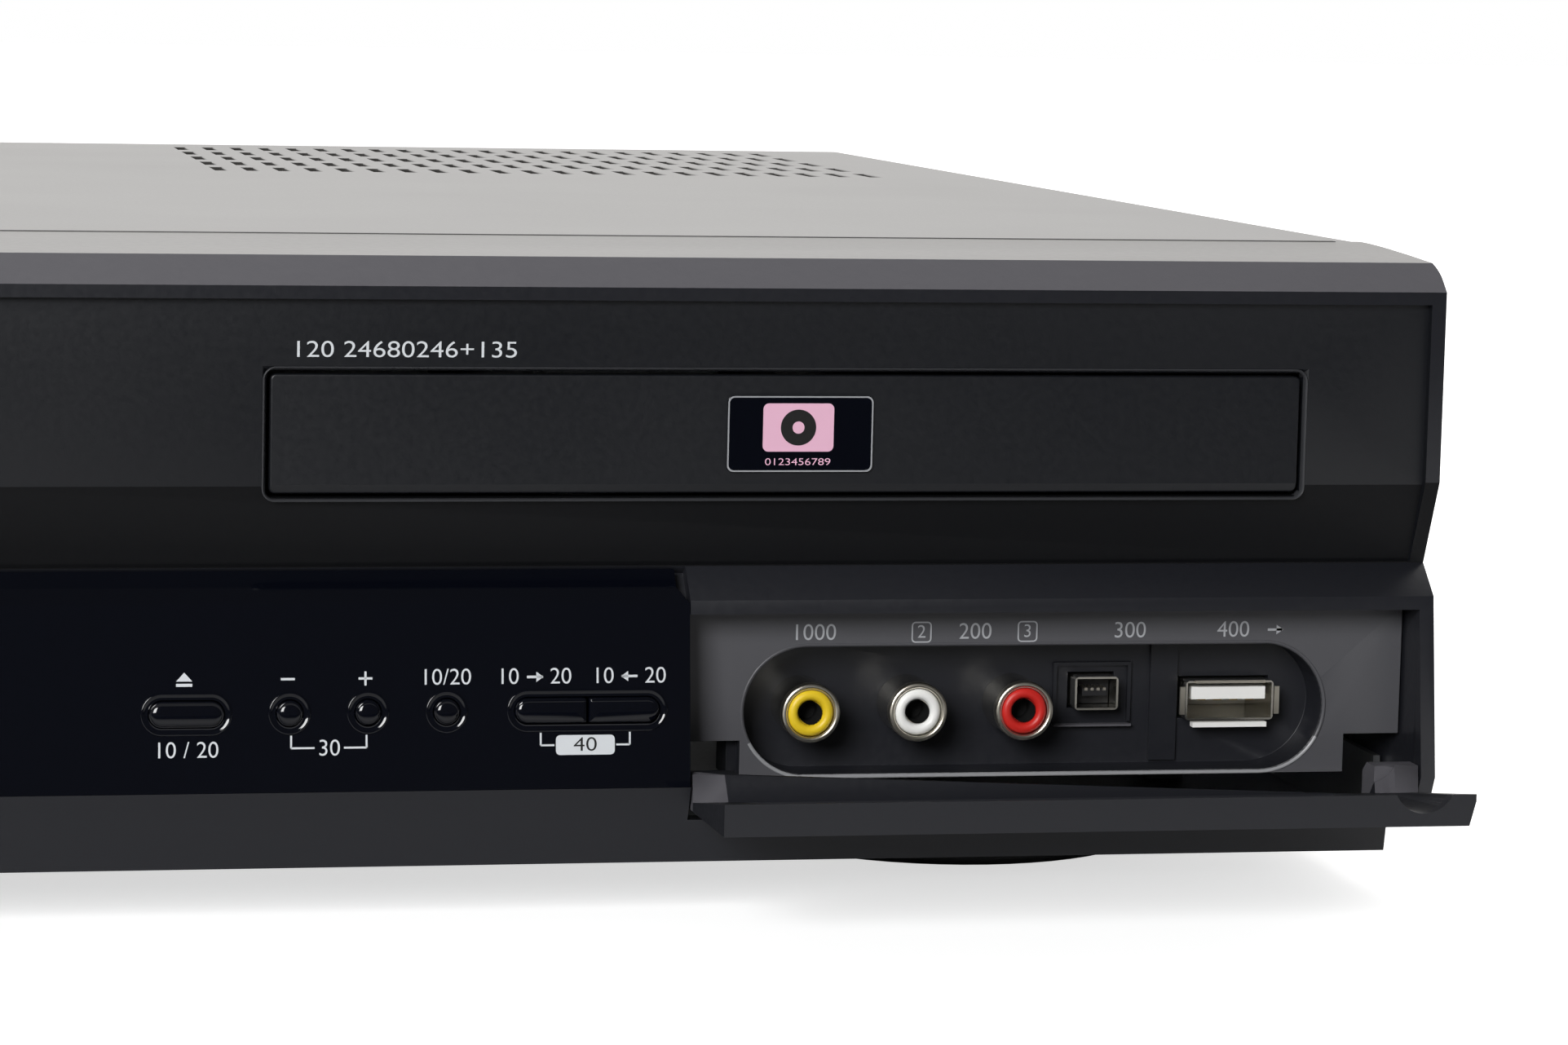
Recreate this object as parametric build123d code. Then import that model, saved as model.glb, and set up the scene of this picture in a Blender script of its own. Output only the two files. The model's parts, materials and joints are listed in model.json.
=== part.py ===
from build123d import *

import math
import os

# A disc recorder and cassette deck in one low case. It is modelled in millimetres in case
# coordinates: X from the middle of the case to the right, Y from the front plane to the rear,
# Z from the underside of the steel chassis upwards. save() then moves every piece so that the
# origin lies on the floor, below the middle of the whole.

# --- driving dimensions of the case -------------------------------------------------------
WIDTH = 430.0             # front panel, the widest piece
DEPTH = 350.0             # front plane to the rear edge of the cover
BODY_HEIGHT = 86.0        # underside of the chassis to the top of the cover
FOOT_HEIGHT = 8.0         # floor to the underside
SHEET = 1.0               # steel of the cover, chassis and rear panel
GAP = 0.3                 # between neighbouring pieces that don't touch
RUN = 0.05                # radial clearance of a pin that turns in its hole
THROUGH = 1.0             # how far a cutting tool runs past the wall that it cuts

# --- front panel: outline heights and depths, read from the side --------------------------
PANEL_DEPTH = 25.0        # the moulding reaches this far back over the top
BAND_BACK = 4.0           # the sloped band under the top edge starts here ...
BAND_TOP = BODY_HEIGHT - 1.7
BAND_LOW = BODY_HEIGHT - 5.6      # ... and meets the front plane here
GROOVE = BODY_HEIGHT - 7.4        # top of the sunken fascia
FASCIA_SUNK = 1.2         # fascia behind the front plane
CREASE = 53.0             # the fascia folds back here
VALLEY = 41.3             # lowest line of the fascia
VALLEY_BACK = 5.0         # depth of the valley behind the front plane
BROW = 37.1               # the lower half starts here, under a slanted strip
BROW_BACK = 0.6
CHIN = 11.6               # the lower half stands out furthest here
CHIN_OUT = 2.5
SKIRT = 6.6               # foot of the side walls, top of the plinth
SKIRT_OUT = 0.3
PLINTH_LOW = 0.5
PLINTH_BACK = 0.8
PLINTH_DEPTH = 11.8       # the chassis starts behind the plinth
PLINTH_HALF = WIDTH / 2 - 6.0
PANEL_WALL = 2.1          # side walls of the moulding
PANEL_SKIN = 2.4          # its front walls
PANEL_CORNER = 4.0        # round corners seen from the front

# --- cover, chassis, rear panel -----------------------------------------------------------
COVER_HALF = WIDTH / 2 - 1.3
COVER_LOW = 6.0
COVER_BEND = 4.0
COVER_LIP = 9.0
PAN_HALF = COVER_HALF - SHEET - GAP
PAN_RIM = 12.0
VENT_COLUMNS, VENT_ROWS = 22, 5
VENT_PITCH_X, VENT_PITCH_Y = 6.06, 24.4
VENT_WIDTH, VENT_LENGTH = 2.2, 15.0
VENT_X = COVER_HALF - 89.7          # middle of the vent field
VENT_Y = DEPTH - 72.0
POST_HEIGHT = 7.0         # stand-offs under the circuit boards
POST_RADIUS = 3.0         # half the side of a stand-off
BOARD = 1.6               # thickness of every circuit board

# --- feet ---------------------------------------------------------------------------------
FOOT_RADIUS = 35.0
FOOT_X = PAN_HALF - 54.0
FOOT_FRONT_Y = 62.0
FOOT_REAR_Y = DEPTH - 50.0
PAD_RADIUS = 9.0
PAD_HEIGHT = 1.2

# --- glossy window and its buttons --------------------------------------------------------
WINDOW_RIGHT = WIDTH / 2 - 107.7
WINDOW_THICK = 2.0
BUTTON_Z = 22.3
BUTTON_TRAVEL = 0.8
BUTTON_CAP = 0.5          # the cap stands this far out of the window
PILL_LONG, PILL_HIGH = 10.4, 3.8          # hole of a wide button
ROUND_HOLE = 3.8          # hole of a round button
STEM = 2.4                # square stem behind every button
FLANGE_BEHIND = 3.8       # stop flange behind the window's inner face
FRONT_BOARD_Y = 15.0
SWITCH_HIGH = 4.0
PILL_BUTTONS = {"power_button": 19.0 - WIDTH / 2, "tape_eject_button": 43.0 - WIDTH / 2,
                "disc_eject_button": WINDOW_RIGHT - 69.4}
ROUND_BUTTONS = {"channel_down_button": WINDOW_RIGHT - 55.4,
                 "channel_up_button": WINDOW_RIGHT - 44.7,
                 "source_button": WINDOW_RIGHT - 33.9}
PAIR_X = WINDOW_RIGHT - 14.4
PAIR_LONG, PAIR_PITCH = 20.4, 10.0      # two keys that share one long hole
PAIR_BUTTONS = {"copy_to_disc_button": -1, "copy_to_tape_button": 1}
DISPLAY_LEFT, DISPLAY_RIGHT = WINDOW_RIGHT - 203.3, WINDOW_RIGHT - 103.3
DISPLAY_LOW, DISPLAY_HIGH = 16.0, 33.0

# --- jack compartment and its door --------------------------------------------------------
BAY_TOP = 35.2
PLATE_FACE = 6.0          # jack plate behind the front plane
PLATE_LOW = 10.9
PLATE_THICK = 2.0
PILL_LEFT, PILL_RIGHT = WINDOW_RIGHT + 9.1, WINDOW_RIGHT + 93.7
PILL_LOW, PILL_TOP = 11.4, 29.6
PILL_DEPTH = 6.5          # floor of the recess behind the plate
JACK_Z = 20.4
JACK_X = WINDOW_RIGHT + 18.5      # first of three phono jacks
JACK_PITCH = 15.45
JACK_RADIUS = 4.15        # outside of a phono barrel
JACK_BORE = 3.35
JACK_LENGTH = 8.0
PIN_HOLE = 1.65           # hole for the plug's centre pin
DV_X, DV_Z = WINDOW_RIGHT + 61.3, 22.0
USB_X, USB_Z = WINDOW_RIGHT + 81.1, 20.8
NOTCH_TOP = 16.4
NOTCH_WIDE = 8.2
HINGE_Y, HINGE_Z = 1.2, 10.2
HINGE_PIN = 1.25
HINGE_PIN_LONG = 1.6
HINGE_TAIL = 1.6          # the arms end this far behind the hinge line
DOOR_LENGTH = 24.5        # hinge line to the free edge
DOOR_UNDER_FREE = 9.0     # under side at the free edge, door open
DOOR_UNDER_HINGE = 8.0
DOOR_TOP = 13.4
DOOR_ARM = 6.4
DOOR_RIM = 1.6
DOOR_POCKET = 2.2
SCOOP_X = WINDOW_RIGHT + 97.9
SCOOP_HALF, SCOOP_DEEP = 4.0, 2.6

# --- disc tray and drive ------------------------------------------------------------------
TRAY_X = WIDTH / 2 - 93.3         # middle of the drive
TRAY_DOOR_WIDE = 145.4
TRAY_DOOR_LOW, TRAY_DOOR_TOP = 51.9, 68.3
TRAY_DOOR_THICK = 2.4
TRAY_DOOR_SUNK = 0.2      # behind the fascia
TRAY_SLIT = 0.5           # around the tray door
BEVEL = 0.6
BADGE_LONG, BADGE_HIGH, BADGE_THICK = 20.6, 10.6, 0.4
BADGE_X, BADGE_Z = TRAY_X + 0.7, 60.2
TRAY_HALF = 68.5
TRAY_LENGTH = 168.0
TRAY_LOW, TRAY_HIGH = 57.0, 63.0
TRAY_LEDGE = 2.5          # rails along both sides
TRAY_TRAVEL = 138.0
DISC_Y = 78.0             # middle of the disc, tray shut
DISC_RADIUS, DISC_DEEP = 60.5, 2.2
SMALL_DISC_RADIUS, SMALL_DISC_DEEP = 40.5, 1.4
TRAY_SLOT_HALF = 19.0
MODULE = 1.5
GEAR_TEETH = 12
PRESSURE = math.radians(20)
BACKLASH = 0.24
GEAR_Y = 24.0
RACK_X = TRAY_X - 52.0    # pitch line of the rack
RACK_HIGH = 3.0
GEAR_SHAFT = 2.0
DRIVE_HALF = 74.5
DRIVE_FRONT, DRIVE_REAR = 10.0, 192.0
DRIVE_FLOOR, DRIVE_WALL, DRIVE_TOP = 43.0, 2.0, 70.0
ROD_RADIUS, ROD_HALF, ROD_Z = 1.5, 27.0, 50.5
ROD_FRONT, ROD_REAR = 66.0, 168.0
PICKUP_LONG, PICKUP_TRAVEL = 34.0, 32.0
TABLE_RADIUS, HUB_RADIUS, TABLE_TOP = 14.0, 7.3, 56.2
CLAMP_RADIUS, CLAMP_FLANGE, CLAMP_LOW = 10.0, 14.0, 65.6
BRIDGE_LONG = 42.0

# --- cassette flap and tape deck ----------------------------------------------------------
HOLDER_HALF = 97.0
DECK_HALF = HOLDER_HALF + 6.7         # about FLAP_X
FLAP_X = DECK_HALF + 11.3 - WIDTH / 2
FLAP_WIDE = 196.0
FLAP_LOW, FLAP_TOP = 44.8, 76.0
FLAP_THICK = 2.4
FLAP_PIVOT_Y, FLAP_PIVOT_Z = 5.6, 74.6
FLAP_PIN = 1.2
DECK_FRONT, DECK_REAR = 34.0, 268.0
DECK_FLOOR, DECK_TOP = 18.0, 72.0
HOLDER_FRONT, HOLDER_LONG = 40.0, 104.0
HOLDER_LOW, HOLDER_TOP = 43.0, 70.5
HOLDER_LEDGE = 20.0
HOLDER_SLIDE, HOLDER_DROP = 45.0, 20.0
HOLDER_PIN = 2.0
CARRIER_FRONT, CARRIER_LONG = 70.0, 46.0
REEL_HALF, REEL_RADIUS = 46.0, 15.0
REEL_Y = 130.0
DRUM_RADIUS, DRUM_Y = 31.0, 228.0
DRUM_SHAFT = 3.0
CAPSTAN_X, CAPSTAN_Y, CAPSTAN_RADIUS = FLAP_X + 48.0, 204.0, 1.9
ROLLER_RADIUS = 7.0
FLYWHEEL = 12.0
PINCH_X, PINCH_Y = FLAP_X + DECK_HALF - 31.7, 214.0

# --- rear sockets -------------------------------------------------------------------------
REAR_FACE = DEPTH - SHEET - 0.1       # outer face of the rear panel, inside the cover's lip
REAR_REACH = 7.0          # phono barrels behind the cover's edge
SCART_X, SCART_LOW_Z, SCART_PITCH = PAN_HALF - 53.0, 26.0, 27.0
SCART_LONG, SCART_HIGH = 47.0, 15.6
BLOCK_X, BLOCK_Z = SCART_X - 68.0, 36.0
BLOCK_COLUMNS, BLOCK_ROWS, BLOCK_PITCH = 2, 1, 14.0
TUNER_X, TUNER_WIDE = SCART_X - 130.0, 30.0
AERIAL_LOW_Z, AERIAL_PITCH, AERIAL_RADIUS, AERIAL_BORE = 30.0, 22.0, 5.0, 3.4
INLET_X, INLET_Z, INLET_LONG, INLET_HIGH = 29.0 - PAN_HALF, 24.0, 24.0, 18.0
REAR_SLOTS, REAR_SLOT_PITCH, REAR_SLOT_WIDE, REAR_SLOT_HIGH = 12, 6.0, 2.4, 24.0
REAR_SLOT_X, REAR_SLOT_Z = 103.0 - PAN_HALF, 52.0
SCREW_HEAD, SCREW_HIGH = 3.0, 1.4

# --- whole part ---------------------------------------------------------------------------
DOOR_REACH = DOOR_LENGTH - HINGE_Y
FRONT = (DOOR_REACH - DEPTH - REAR_REACH) / 2     # front plane in the part's own frame
HALF = WIDTH / 2
INSIDE = HALF - PANEL_WALL


def save(name, shape):
    """Writes one piece, moved from case coordinates to the part's frame."""
    export_step(Pos(0, FRONT, FOOT_HEIGHT) * shape, f"parts/{name}.step")


def block(x0, x1, y0, y1, z0, z1):
    """A plain block between six planes."""
    return Pos((x0 + x1) / 2, (y0 + y1) / 2, (z0 + z1) / 2) * Box(x1 - x0, y1 - y0, z1 - z0)


def along_x(outline, x0, x1):
    """A Y-Z outline carried along X."""
    return extrude(Plane.YZ.offset(x0) * make_face(Polyline(*outline, close=True)), x1 - x0)


def along_y(outline, y0, y1):
    """An X-Z outline carried along Y."""
    return extrude(Plane.XZ.offset(-y0) * make_face(Polyline(*outline, close=True)), y0 - y1)


def along_z(outline, z0, z1):
    """An X-Y outline carried along Z."""
    return extrude(Plane.XY.offset(z0) * make_face(Polyline(*outline, close=True)), z1 - z0)


def sketch_x(shape, y, z, x0, x1):
    """A sketch about (y, z) carried along X."""
    return extrude(Plane.YZ.offset(x0) * Pos(y, z) * shape, x1 - x0)


def sketch_y(shape, x, z, y0, y1):
    """A sketch about (x, z) carried along Y."""
    return extrude(Plane.XZ.offset(-y0) * Pos(x, z) * shape, y0 - y1)


def sketch_z(shape, x, y, z0, z1):
    """A sketch about (x, y) carried along Z."""
    return extrude(Plane.XY.offset(z0) * Pos(x, y) * shape, z1 - z0)


def window_front(z):
    """Depth of the window's outer face at height z."""
    return BROW_BACK - (BROW_BACK + CHIN_OUT) * (BROW - z) / (BROW - CHIN)


# --- front panel --------------------------------------------------------------------------
# The inside follows the outside one skin further back, and two where the window lies on it.
CAVITY = [
    (PANEL_DEPTH + THROUGH, BODY_HEIGHT - PANEL_SKIN),
    (BAND_BACK + PANEL_SKIN, BAND_TOP - PANEL_SKIN),
    (FASCIA_SUNK + PANEL_SKIN, GROOVE),
    (FASCIA_SUNK + PANEL_SKIN, CREASE + 0.6),
    (VALLEY_BACK + 3.6, VALLEY - 0.4),
    (BROW_BACK + PANEL_SKIN + WINDOW_THICK + 0.4, BROW - 0.6),
    (PANEL_SKIN + WINDOW_THICK - CHIN_OUT + 0.5, CHIN + 0.4),
    (PLINTH_BACK + PANEL_SKIN, PLINTH_LOW + PANEL_SKIN),
    (PANEL_DEPTH + THROUGH, PLINTH_LOW + PANEL_SKIN),
]


def hinge_bosses():
    """Ears behind the fascia that carry the pins of the cassette flap."""
    ears = []
    for side in (-1, 1):
        edge = FLAP_X + side * (FLAP_WIDE / 2 + GAP)
        x0, x1 = sorted((edge, edge + side * 3.0))
        ear = block(x0, x1, FASCIA_SUNK + PANEL_SKIN, FLAP_PIVOT_Y + 3.0,
                    FLAP_PIVOT_Z - 3.0, GROOVE)
        ears.append(ear - sketch_x(Circle(FLAP_PIN + RUN), FLAP_PIVOT_Y, FLAP_PIVOT_Z,
                                   x0 - THROUGH, x1 + THROUGH))
    return ears


def key_sizes():
    """Middle, length and height of every hole that a key or a pair of keys comes through."""
    sizes = [(x, PILL_LONG, PILL_HIGH) for x in PILL_BUTTONS.values()]
    sizes += [(x, ROUND_HOLE, ROUND_HOLE) for x in ROUND_BUTTONS.values()]
    return sizes + [(PAIR_X, PAIR_LONG, PILL_HIGH)]


def key_outline(long, high):
    """Round or pill-shaped outline of a key or its hole."""
    return Circle(long / 2) if long <= high else SlotOverall(long, high)


def front_panel():
    """Hollow moulding with a sunken fascia, the window's seat, tray and cassette openings."""
    outline = [
        (PANEL_DEPTH, BODY_HEIGHT), (BAND_BACK, BAND_TOP), (0, BAND_LOW), (0, CREASE + 0.4),
        (VALLEY_BACK, VALLEY), (BROW_BACK, BROW), (-CHIN_OUT, CHIN), (-SKIRT_OUT, SKIRT),
        (PLINTH_BACK, PLINTH_LOW), (PLINTH_DEPTH, PLINTH_LOW), (PLINTH_DEPTH, SKIRT),
        (PANEL_DEPTH, SKIRT),
    ]
    panel = along_x(outline, -HALF, HALF)
    corner = RectangleRounded(WIDTH, 2 * BODY_HEIGHT, PANEL_CORNER)
    panel &= sketch_y(corner, 0, 0, -CHIN_OUT - THROUGH, PANEL_DEPTH + THROUGH)
    panel -= along_x(CAVITY, -INSIDE, INSIDE)
    fascia = [(-CHIN_OUT, GROOVE), (FASCIA_SUNK, GROOVE), (FASCIA_SUNK, CREASE),
              (VALLEY_BACK + 0.7, VALLEY + 0.2), (-CHIN_OUT, VALLEY + 0.2)]
    panel -= along_x(fascia, -INSIDE, INSIDE)
    # Below the side walls only the narrower plinth goes on.
    for side in (-1, 1):
        x0, x1 = sorted((side * PLINTH_HALF, side * (HALF + THROUGH)))
        panel -= block(x0, x1, -CHIN_OUT - THROUGH, PANEL_DEPTH + THROUGH,
                       PLINTH_LOW - THROUGH, SKIRT)
    # Seat of the window, and the display's opening behind it.
    seat = [(VALLEY_BACK, VALLEY), (VALLEY_BACK + 1.6, VALLEY - 1.2),
            (BROW_BACK + WINDOW_THICK + GAP, BROW - 0.8),
            (WINDOW_THICK + GAP - CHIN_OUT, CHIN), (-CHIN_OUT - THROUGH, CHIN),
            (-CHIN_OUT - THROUGH, VALLEY)]
    panel -= along_x(seat, -INSIDE, WINDOW_RIGHT + GAP / 3)
    panel -= block(DISPLAY_LEFT, DISPLAY_RIGHT, -CHIN_OUT, PANEL_DEPTH, DISPLAY_LOW,
                   DISPLAY_HIGH)
    for x, long, high in key_sizes():
        panel -= block(x - long / 2 - GAP, x + long / 2 + GAP, -CHIN_OUT, FRONT_BOARD_Y,
                       BUTTON_Z - high / 2 - GAP, BUTTON_Z + high / 2 + GAP)
    # Jack bay, open to the front, with a partition that carries the door's left pin.
    panel -= block(WINDOW_RIGHT + GAP / 3, INSIDE, -CHIN_OUT - THROUGH, PANEL_DEPTH + THROUGH,
                   SKIRT, BAY_TOP)
    partition = [(window_front(BAY_TOP) + WINDOW_THICK + 1.0, BAY_TOP),
                 (WINDOW_THICK + 1.0 - CHIN_OUT, CHIN), (SKIRT_OUT + 1.0, PLINTH_LOW + 1.0),
                 (PLINTH_DEPTH, PLINTH_LOW + PANEL_SKIN), (PLINTH_DEPTH, SKIRT),
                 (PANEL_DEPTH, SKIRT), (PANEL_DEPTH, BAY_TOP)]
    right = WINDOW_RIGHT + GAP / 3
    panel += along_x(partition, right - PANEL_WALL, right)
    for x0, x1 in ((right - HINGE_PIN_LONG - GAP, right + THROUGH),
                   (INSIDE - THROUGH, INSIDE + HINGE_PIN_LONG + 0.1)):
        panel -= sketch_x(Circle(HINGE_PIN + RUN), HINGE_Y, HINGE_Z, x0, x1)
    # Tray opening with a bevelled edge.
    slit = 2 * TRAY_SLIT
    middle = (TRAY_DOOR_LOW + TRAY_DOOR_TOP) / 2
    high = TRAY_DOOR_TOP - TRAY_DOOR_LOW + slit
    panel -= sketch_y(Rectangle(TRAY_DOOR_WIDE + slit, high), TRAY_X, middle, -CHIN_OUT,
                      PANEL_DEPTH + THROUGH)
    rim = Plane.XZ.offset(-FASCIA_SUNK) * Pos(TRAY_X, middle) * Rectangle(
        TRAY_DOOR_WIDE + slit + 2 * BEVEL, high + 2 * BEVEL)
    panel -= extrude(rim, -BEVEL, taper=45)
    # Cassette opening and the ears of its flap.
    panel -= block(FLAP_X - FLAP_WIDE / 2 - GAP, FLAP_X + FLAP_WIDE / 2 + GAP, -CHIN_OUT,
                   PANEL_DEPTH + THROUGH, FLAP_LOW - GAP, FLAP_TOP + GAP)
    panel += hinge_bosses()
    # Posts that carry the front board.
    for x in (34 - INSIDE, DISPLAY_LEFT - 12, DISPLAY_RIGHT + 16, WINDOW_RIGHT - 25):
        panel += block(x - 2, x + 2, 3.9, FRONT_BOARD_Y, DISPLAY_HIGH - 1.0, DISPLAY_HIGH + 1.5)
    return panel


def front_window():
    """Glossy strip, folded back over the brow, with a hole for every button."""
    face = [(VALLEY_BACK - 0.3, VALLEY - 0.3), (BROW_BACK, BROW), (-CHIN_OUT, CHIN + 0.05),
            (WINDOW_THICK - CHIN_OUT, CHIN + 0.05), (BROW_BACK + WINDOW_THICK, BROW - 0.7),
            (VALLEY_BACK + 1.2, VALLEY - 1.3)]
    window = along_x(face, -INSIDE + GAP, WINDOW_RIGHT)
    corner = 1.6
    cut = [(WINDOW_RIGHT - corner, BROW + corner), (WINDOW_RIGHT + THROUGH, BROW - corner),
           (WINDOW_RIGHT + THROUGH, VALLEY + THROUGH), (WINDOW_RIGHT - corner, VALLEY + THROUGH)]
    window -= along_y(cut, -CHIN_OUT, VALLEY_BACK + 2.0)
    for x, long, high in key_sizes():
        window -= sketch_y(key_outline(long, high), x, BUTTON_Z, -CHIN_OUT - THROUGH,
                           FRONT_BOARD_Y)
    return window


# --- buttons ------------------------------------------------------------------------------
def button(x, stem_x, long, high):
    """Cap through the window, a stop flange behind the panel and a stem to its switch."""
    face = window_front(BUTTON_Z)
    flange = face + WINDOW_THICK + FLANGE_BEHIND
    stem_end = FRONT_BOARD_Y - SWITCH_HIGH - BUTTON_TRAVEL - 0.2
    slack = 2 * GAP / 3
    key = sketch_y(key_outline(long - slack, high - slack), x, BUTTON_Z, face - BUTTON_CAP,
                   flange)
    key += block(x - long / 2 - 1, x + long / 2 + 1, flange, flange + 1.0, BUTTON_Z - 3.8,
                 BUTTON_Z + 3.8)
    return key + block(stem_x - STEM / 2, stem_x + STEM / 2, flange + 1.0, stem_end,
                       BUTTON_Z - STEM / 2, BUTTON_Z + STEM / 2)


def buttons():
    """All eight keys by name."""
    made = {}
    for name, x in PILL_BUTTONS.items():
        made[name] = button(x, x, PILL_LONG, PILL_HIGH)
    for name, x in ROUND_BUTTONS.items():
        made[name] = button(x, x, ROUND_HOLE, ROUND_HOLE)
    for name, side in PAIR_BUTTONS.items():
        # Each key of the pair is half of one long pill.
        whole = button(PAIR_X, PAIR_X + side * PAIR_PITCH / 2, PAIR_LONG, PILL_HIGH)
        x0, x1 = sorted((PAIR_X + side * GAP / 2, PAIR_X + side * PAIR_LONG))
        made[name] = whole & block(x0, x1, -2 * CHIN_OUT, FRONT_BOARD_Y, CHIN, BROW)
    return made


def front_board():
    """Circuit board behind the window with one switch for each button."""
    board = block(-INSIDE + 8, WINDOW_RIGHT - 4, FRONT_BOARD_Y, FRONT_BOARD_Y + BOARD,
                  CHIN + 2, BROW - 1)
    places = [*PILL_BUTTONS.values(), *ROUND_BUTTONS.values()]
    places += [PAIR_X + side * PAIR_PITCH / 2 for side in PAIR_BUTTONS.values()]
    for x in places:
        board += block(x - 3, x + 3, FRONT_BOARD_Y - SWITCH_HIGH + 1, FRONT_BOARD_Y,
                       BUTTON_Z - 3, BUTTON_Z + 3)
        board += block(x - 1, x + 1, FRONT_BOARD_Y - SWITCH_HIGH, FRONT_BOARD_Y - SWITCH_HIGH + 1,
                       BUTTON_Z - 1, BUTTON_Z + 1)
    return board


def display_module():
    """Flat glass display that looks through the window."""
    front = WINDOW_THICK + BROW_BACK + 0.6
    glass = block(DISPLAY_LEFT + GAP, DISPLAY_RIGHT - GAP, front, front + 5.0,
                  DISPLAY_LOW + GAP, DISPLAY_HIGH - GAP)
    legs = block(DISPLAY_LEFT + 4, DISPLAY_RIGHT - 4, front + 5.0, FRONT_BOARD_Y,
                 DISPLAY_LOW + 3, DISPLAY_HIGH - 6)
    return glass + legs


# --- jack bay -----------------------------------------------------------------------------
BAY_LEFT = WINDOW_RIGHT + GAP / 3
PILL_MIDDLE = ((PILL_LEFT + PILL_RIGHT) / 2, (PILL_LOW + PILL_TOP) / 2)
PILL_SIZE = (PILL_RIGHT - PILL_LEFT, PILL_TOP - PILL_LOW)
FLOOR_FACE = PLATE_FACE + PILL_DEPTH
JACKS = [JACK_X + n * JACK_PITCH for n in range(3)]
DV_SIZE, USB_SIZE = (6.4, 4.8), (13.1, 5.7)
JACK_BOARD_Y = FLOOR_FACE + PLATE_THICK + 10.0


def jack_plate():
    """Moulded plate with a deep pill-shaped recess that the sockets look through."""
    top = BAY_TOP - GAP / 3
    plate = block(BAY_LEFT + GAP, INSIDE - GAP, PLATE_FACE, PLATE_FACE + PLATE_THICK,
                  PLATE_LOW, top)
    plate += block(PILL_LEFT - PLATE_THICK, PILL_RIGHT + PLATE_THICK, PLATE_FACE + PLATE_THICK,
                   FLOOR_FACE + PLATE_THICK, PLATE_LOW, PILL_TOP + PLATE_THICK)
    plate -= sketch_y(SlotOverall(*PILL_SIZE), *PILL_MIDDLE, PLATE_FACE - THROUGH, FLOOR_FACE)
    # Side flanges run back along the bay's walls.
    for x0, x1 in ((BAY_LEFT + GAP, BAY_LEFT + GAP + PLATE_THICK),
                   (INSIDE - GAP - PLATE_THICK, INSIDE - GAP)):
        plate += block(x0, x1, PLATE_FACE, PANEL_DEPTH - 2, NOTCH_TOP, top)
    # A notch at each lower corner lets the door's arms swing.
    for x0, x1 in ((BAY_LEFT, BAY_LEFT + GAP + NOTCH_WIDE), (INSIDE - GAP - NOTCH_WIDE, INSIDE)):
        plate -= block(x0, x1, PLATE_FACE - THROUGH, PLATE_FACE + PLATE_THICK,
                       PLATE_LOW - THROUGH, NOTCH_TOP)
    for x in JACKS:
        plate -= sketch_y(Circle(JACK_BORE + 0.1), x, JACK_Z, FLOOR_FACE - THROUGH,
                          FLOOR_FACE + PLATE_THICK + THROUGH)
    for x, z, size in ((DV_X, DV_Z, DV_SIZE), (USB_X, USB_Z, USB_SIZE)):
        plate -= sketch_y(Rectangle(size[0] + 0.4, size[1] + 0.4), x, z, FLOOR_FACE - THROUGH,
                          FLOOR_FACE + PLATE_THICK + THROUGH)
    return plate


def phono_shell(x, z, y0, y1):
    """Plated barrel of a phono jack, pressed over its insert in front of the plate."""
    barrel = sketch_y(Circle(JACK_RADIUS), x, z, y0, y1)
    return barrel - sketch_y(Circle(JACK_BORE), x, z, y0 - THROUGH, y1 + THROUGH)


SHELL_FRONT = FLOOR_FACE + 0.5 - JACK_LENGTH
SHELL_BACK = FLOOR_FACE + PLATE_THICK + 0.4


def jack_insert(x):
    """Coloured ring inside one barrel, with the hole for the plug's pin."""
    ring = sketch_y(Circle(JACK_BORE - 0.02), x, JACK_Z, SHELL_FRONT + 0.8, SHELL_BACK)
    return ring - sketch_y(Circle(PIN_HOLE), x, JACK_Z, SHELL_FRONT - THROUGH,
                           SHELL_BACK - 1.0)


def jack_board():
    """Upright board behind the plate; a moulded housing behind each socket stands on it."""
    board = block(PILL_LEFT + 2, PILL_RIGHT - 2, JACK_BOARD_Y, JACK_BOARD_Y + BOARD,
                  PLATE_LOW + 1, BAY_TOP - 3)
    for x in JACKS:
        board += block(x - 5.5, x + 5.5, SHELL_BACK, JACK_BOARD_Y, JACK_Z - 5.5, JACK_Z + 5.5)
    return board


def socket_shell(x, z, size, y0, y1, wall):
    """Folded steel tube around a rectangular socket."""
    shell = sketch_y(RectangleRounded(size[0], size[1], 0.6), x, z, y0, y1)
    return shell - sketch_y(Rectangle(size[0] - 2 * wall, size[1] - 2 * wall), x, z,
                            y0 - THROUGH, y1 - 1.0)


SOCKET_FRONT = FLOOR_FACE - 3.0
SOCKET_BACK = JACK_BOARD_Y


def dv_insert():
    """Black tongue block inside the small video link socket."""
    body = sketch_y(Rectangle(DV_SIZE[0] - 0.8, DV_SIZE[1] - 0.8), DV_X, DV_Z,
                    SOCKET_FRONT + 3.5, SOCKET_BACK - 1.0)
    return body + block(DV_X - 1.8, DV_X + 1.8, SOCKET_FRONT + 1.0, SOCKET_FRONT + 3.5,
                        DV_Z - 0.5, DV_Z + 0.5)


def usb_tongue():
    """White contact tongue on its back block, in the upper half of the socket."""
    back = sketch_y(Rectangle(USB_SIZE[0] - 0.7, USB_SIZE[1] - 0.7), USB_X, USB_Z,
                    SOCKET_BACK - 4.0, SOCKET_BACK - 1.0)
    return back + block(USB_X - 5.5, USB_X + 5.5, SOCKET_FRONT + 0.6, SOCKET_BACK - 4.0,
                        USB_Z + 0.1, USB_Z + 1.9)


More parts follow.
